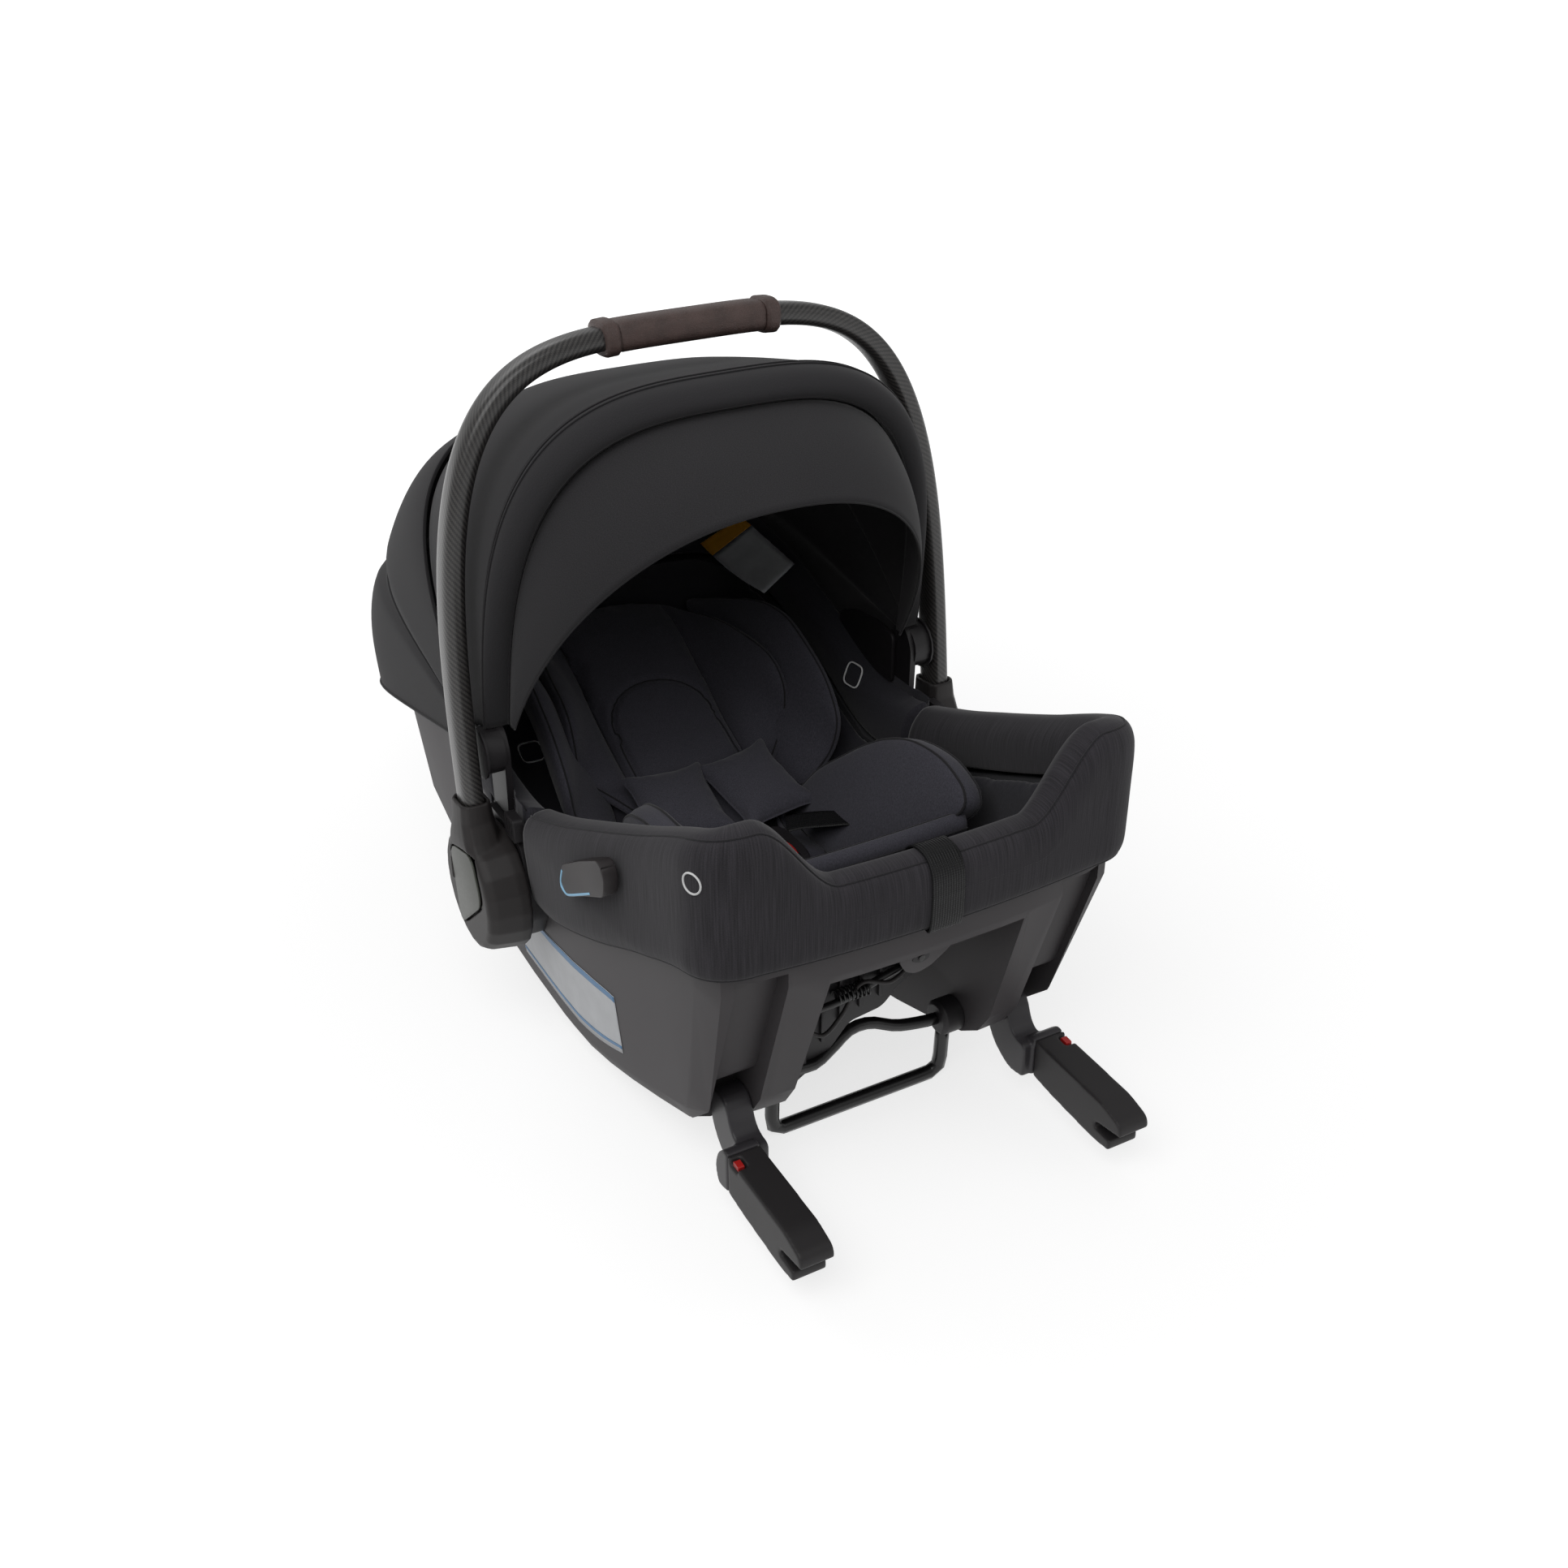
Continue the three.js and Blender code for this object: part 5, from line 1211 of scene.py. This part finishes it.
tab = {"y": -331.5, "top": 217, "lean": 0.32, "screw": (-6, 206),
       "corners": [(-26, 217), (24, 217), (17, 205), (6, 192), (-5, 188), (-15, 193), (-23, 205)]}
leaning = [(x, tab["y"] + (tab["top"] - z) * tab["lean"], z) for x, z in tab["corners"]]
plate("frontTab", leaning, 4.0, 0.8, "shell", 4.0)
x, z = tab["screw"]
# a dark oval disc round the screw stands in for the shade of its recess: painted shade, not a cut hollow
plate("tabRecessPaintedShade", oval(x, tab["y"] + 2.1, z, 7.5, 4.2, 20), 2.6, 0.4, "dark")
plate("tabScrew", oval(x, tab["y"] + 0.6, z, 2.6, 2.6, 12), 1.6, 0.3, "steel")

release = {
    "y": -232.0, "depth": 26.0, "soft": 1.5, "corner": 5.0, "ribTop": 148, "ribs": (-248, -238),
    "corners": [(-64, 152), (60, 150), (58, 124), (34, 112), (18, 96), (-12, 92), (-34, 66), (-64, 48)],
    "tall": [(-54, 84), (-38, 64), (-22, 50), (-4, 42), (14, 38), (34, 28)],
    "cable": [(-60, -256, 112), (-44, -258, 100), (-26, -256, 112), (-8, -254, 134), (18, -256, 128),
              (40, -255, 140)],
}
corners = [(x, release["y"], z) for x, z in release["corners"]]
plate("releaseHousing", corners, release["depth"], release["soft"], "dark", release["corner"])
for number, (x, tall) in enumerate(release["tall"]):
    high, (near, far) = release["ribTop"], release["ribs"]
    square = [(x, near, high - tall), (x, far, high - tall), (x, far, high), (x, near, high)]
    plate(f"releaseRib{number}", square, 3.0, 0.6, "dark")
shaft = np.array([(x, -252 + 3 * math.sin(x / 18), 128 + 0.12 * x) for x in np.linspace(-58, 52, 30)])
cord("releaseRod", shaft, 3.2, "steel", sides=10)
cord("releaseCable", spline(release["cable"], 8), 1.8, "hub")
coil = [(-30 + k * 0.42, -252 + 6 * math.cos(k * 0.7), 127 + 6 * math.sin(k * 0.7)) for k in range(72)]
cord("releaseSpring", coil, 0.9, "steel", sides=6)

hubForm = {"pivot": [-8.0, 150.0], "face": 1.4, "rim": 1.1, "capDraw": 0.965, "capDepth": 0.5}


def swell(piece):
    # the hub's drum and its cap stand a little wider than the solid; the collar above stays
    co = coordsOf(piece.data) * 1000
    d = co[:, 1:] - hubForm["pivot"]
    r = np.linalg.norm(d, axis=1)
    grown = lerp(hubForm["face"], hubForm["rim"], smooth(r, 26, 52))
    share = 1 - smooth(co[:, 2], 186, 214)
    co[:, 1:] = hubForm["pivot"] + d * (1 + (grown - 1) * share)[:, None]
    setCoords(piece.data, co / 1000)


for side in ("Left", "Right"):
    hub = copyNode(f"handle_hub_{side.lower()}", f"handleHub{side}")
    swell(hub)
    remeshed(hub, 1.3, 5)
    applyAll(hub)
    wear(hub, "hub", "handle", [f"handle_hub_{side.lower()}"])
    cap = copyNode(f"handle_button_{side.lower()}", f"handleCap{side}")
    swell(cap)
    co = coordsOf(cap.data)
    middle = (co.min(0) + co.max(0)) / 2
    outer = co[np.argmax(np.abs(co[:, 0])), 0]
    co[:, 1:] = middle[1:] + (co[:, 1:] - middle[1:]) * hubForm["capDraw"]
    co[:, 0] = outer + (co[:, 0] - outer) * hubForm["capDepth"]
    setCoords(cap.data, co)
    modify(cap, "BEVEL", width=0.0008, segments=3, limit_method="ANGLE", angle_limit=math.radians(30))
    crisp(cap)
    wear(cap, "cap", f"handle_button_{side.lower()}", [f"handle_button_{side.lower()}"])
print("mouldings ready")


def softened(node, name, rounds, material, rides):
    # a moulding's edges rubbed round: remeshed finely and relaxed
    piece = copyNode(node, name)
    remeshed(piece, 1.1, rounds)
    applyAll(piece)
    wear(piece, material, rides, [node])


for side in ("left", "right"):
    softened(f"latch_arm_{side}", f"latchArm{side.title()}", 6, "arm", f"latch_{side}")
    softened(f"latch_connector_{side}", f"latchConnector{side.title()}", 10, "connector", f"latch_{side}")

flagForm = {"scale": [0.62, 0.7], "bevel": 0.6}
for side in ("Left", "Right"):
    flag = copyNode(f"latch_indicator_{side.lower()}", f"latchFlag{side}")
    co = coordsOf(flag.data)
    middle = (co.min(0) + co.max(0)) / 2
    co[:, :2] = middle[:2] + (co[:, :2] - middle[:2]) * flagForm["scale"]
    setCoords(flag.data, co)
    modify(flag, "BEVEL", width=flagForm["bevel"] / 1000, segments=2)
    applyAll(flag)
    edited(flag.data, sameNormals)
    wear(flag, "red", f"latch_{side.lower()}", [f"latch_indicator_{side.lower()}"])

# a bare sticker on the near side of the shell
sticker = {"x": -182, "rear": 36, "front": -160, "thick": 0.2}
shellTree = treeOf(nodes["shell"])
upper = profile([[-165, 119], [-150, 118], [-95, 111], [-40, 104], [40, 96]])
lower = profile([[-165, 62], [-130, 50], [-92, 42], [-40, 40], [40, 40]])


def stickerPart(name, low, high, material, lift):
    grid = []
    for y in np.linspace(sticker["rear"], sticker["front"], 60):
        a, b = float(lower(y)), float(upper(y))
        line = np.array([(sticker["x"], y, lerp(a, b, share)) for share in np.linspace(low, high, 9)])
        grid.append(ontoSurface(shellTree, line, lift))
    made = skin(name, grid)
    modify(made, "SOLIDIFY", thickness=sticker["thick"] / 1000, offset=1.0)
    applyAll(made)
    wear(made, material, "carrier")


# a bare pale patch with an amber end, sewn inside the canopy's far rear corner
patch = {"amber": 0.2, "sag": 5.0,
         "corners": [(135, 298, 270), (168, 272, 302), (175, 176, 285), (131, 156, 272)]}


def patchPart(name, low, high, material):
    a, b, c, d = (np.array(p, float) for p in patch["corners"])
    grid = []
    across = np.linspace(0, 1, 9)
    for s in np.linspace(low, high, 14):
        line = [lerp(lerp(a, d, s), lerp(b, c, s), k) for k in across]
        dip = [patch["sag"] * math.sin(math.pi * s) * (1 - k) for k in across]
        grid.append(np.array(line) - np.array(dip)[:, None] * [0, 0, 1])
    made = skin(name, grid)
    modify(made, "SOLIDIFY", thickness=0.0005, offset=0.0)
    applyAll(made)
    wear(made, material, "carrier")


patchPart("sewnPatch", patch["amber"], 1.0, "label")
patchPart("sewnPatchEnd", 0.0, patch["amber"], "amber")
stickerPart("sideSticker", 0.0, 1.0, "label", 0.25)
stickerPart("stickerEdge", 0.9, 0.99, "labelEdge", 0.55)
stickerPart("stickerFoot", 0.08, 0.13, "labelEdge", 0.55)

# moulded and metal pieces keep the frame's shape


def pair(name):
    return f"{name}_left {name}_right"


dress("shell", "shell", 1.2)
dress("foam_liner", "foam", 0)
dress(pair("buckle_tongue"), "steel", 0.4)
dress("buckle_body", "dark", 1.0)
dress("buckle_button", "red", 0.6)
dress(pair("hub_base"), "dark", 0.8)
dress(pair("canopy_mount"), "dark", 0.6)
dress(pair("release_button"), "dark", 0.5)
dress("rear_lever", "dark", 0.8)
dress("foot_bar foot_cross_bar", "steel", 0)
dress(pair("foot_boss"), "dark", 0.8)
dress(pair("latch_jaw"), "steel", 0.3)
print("carried nodes dressed")
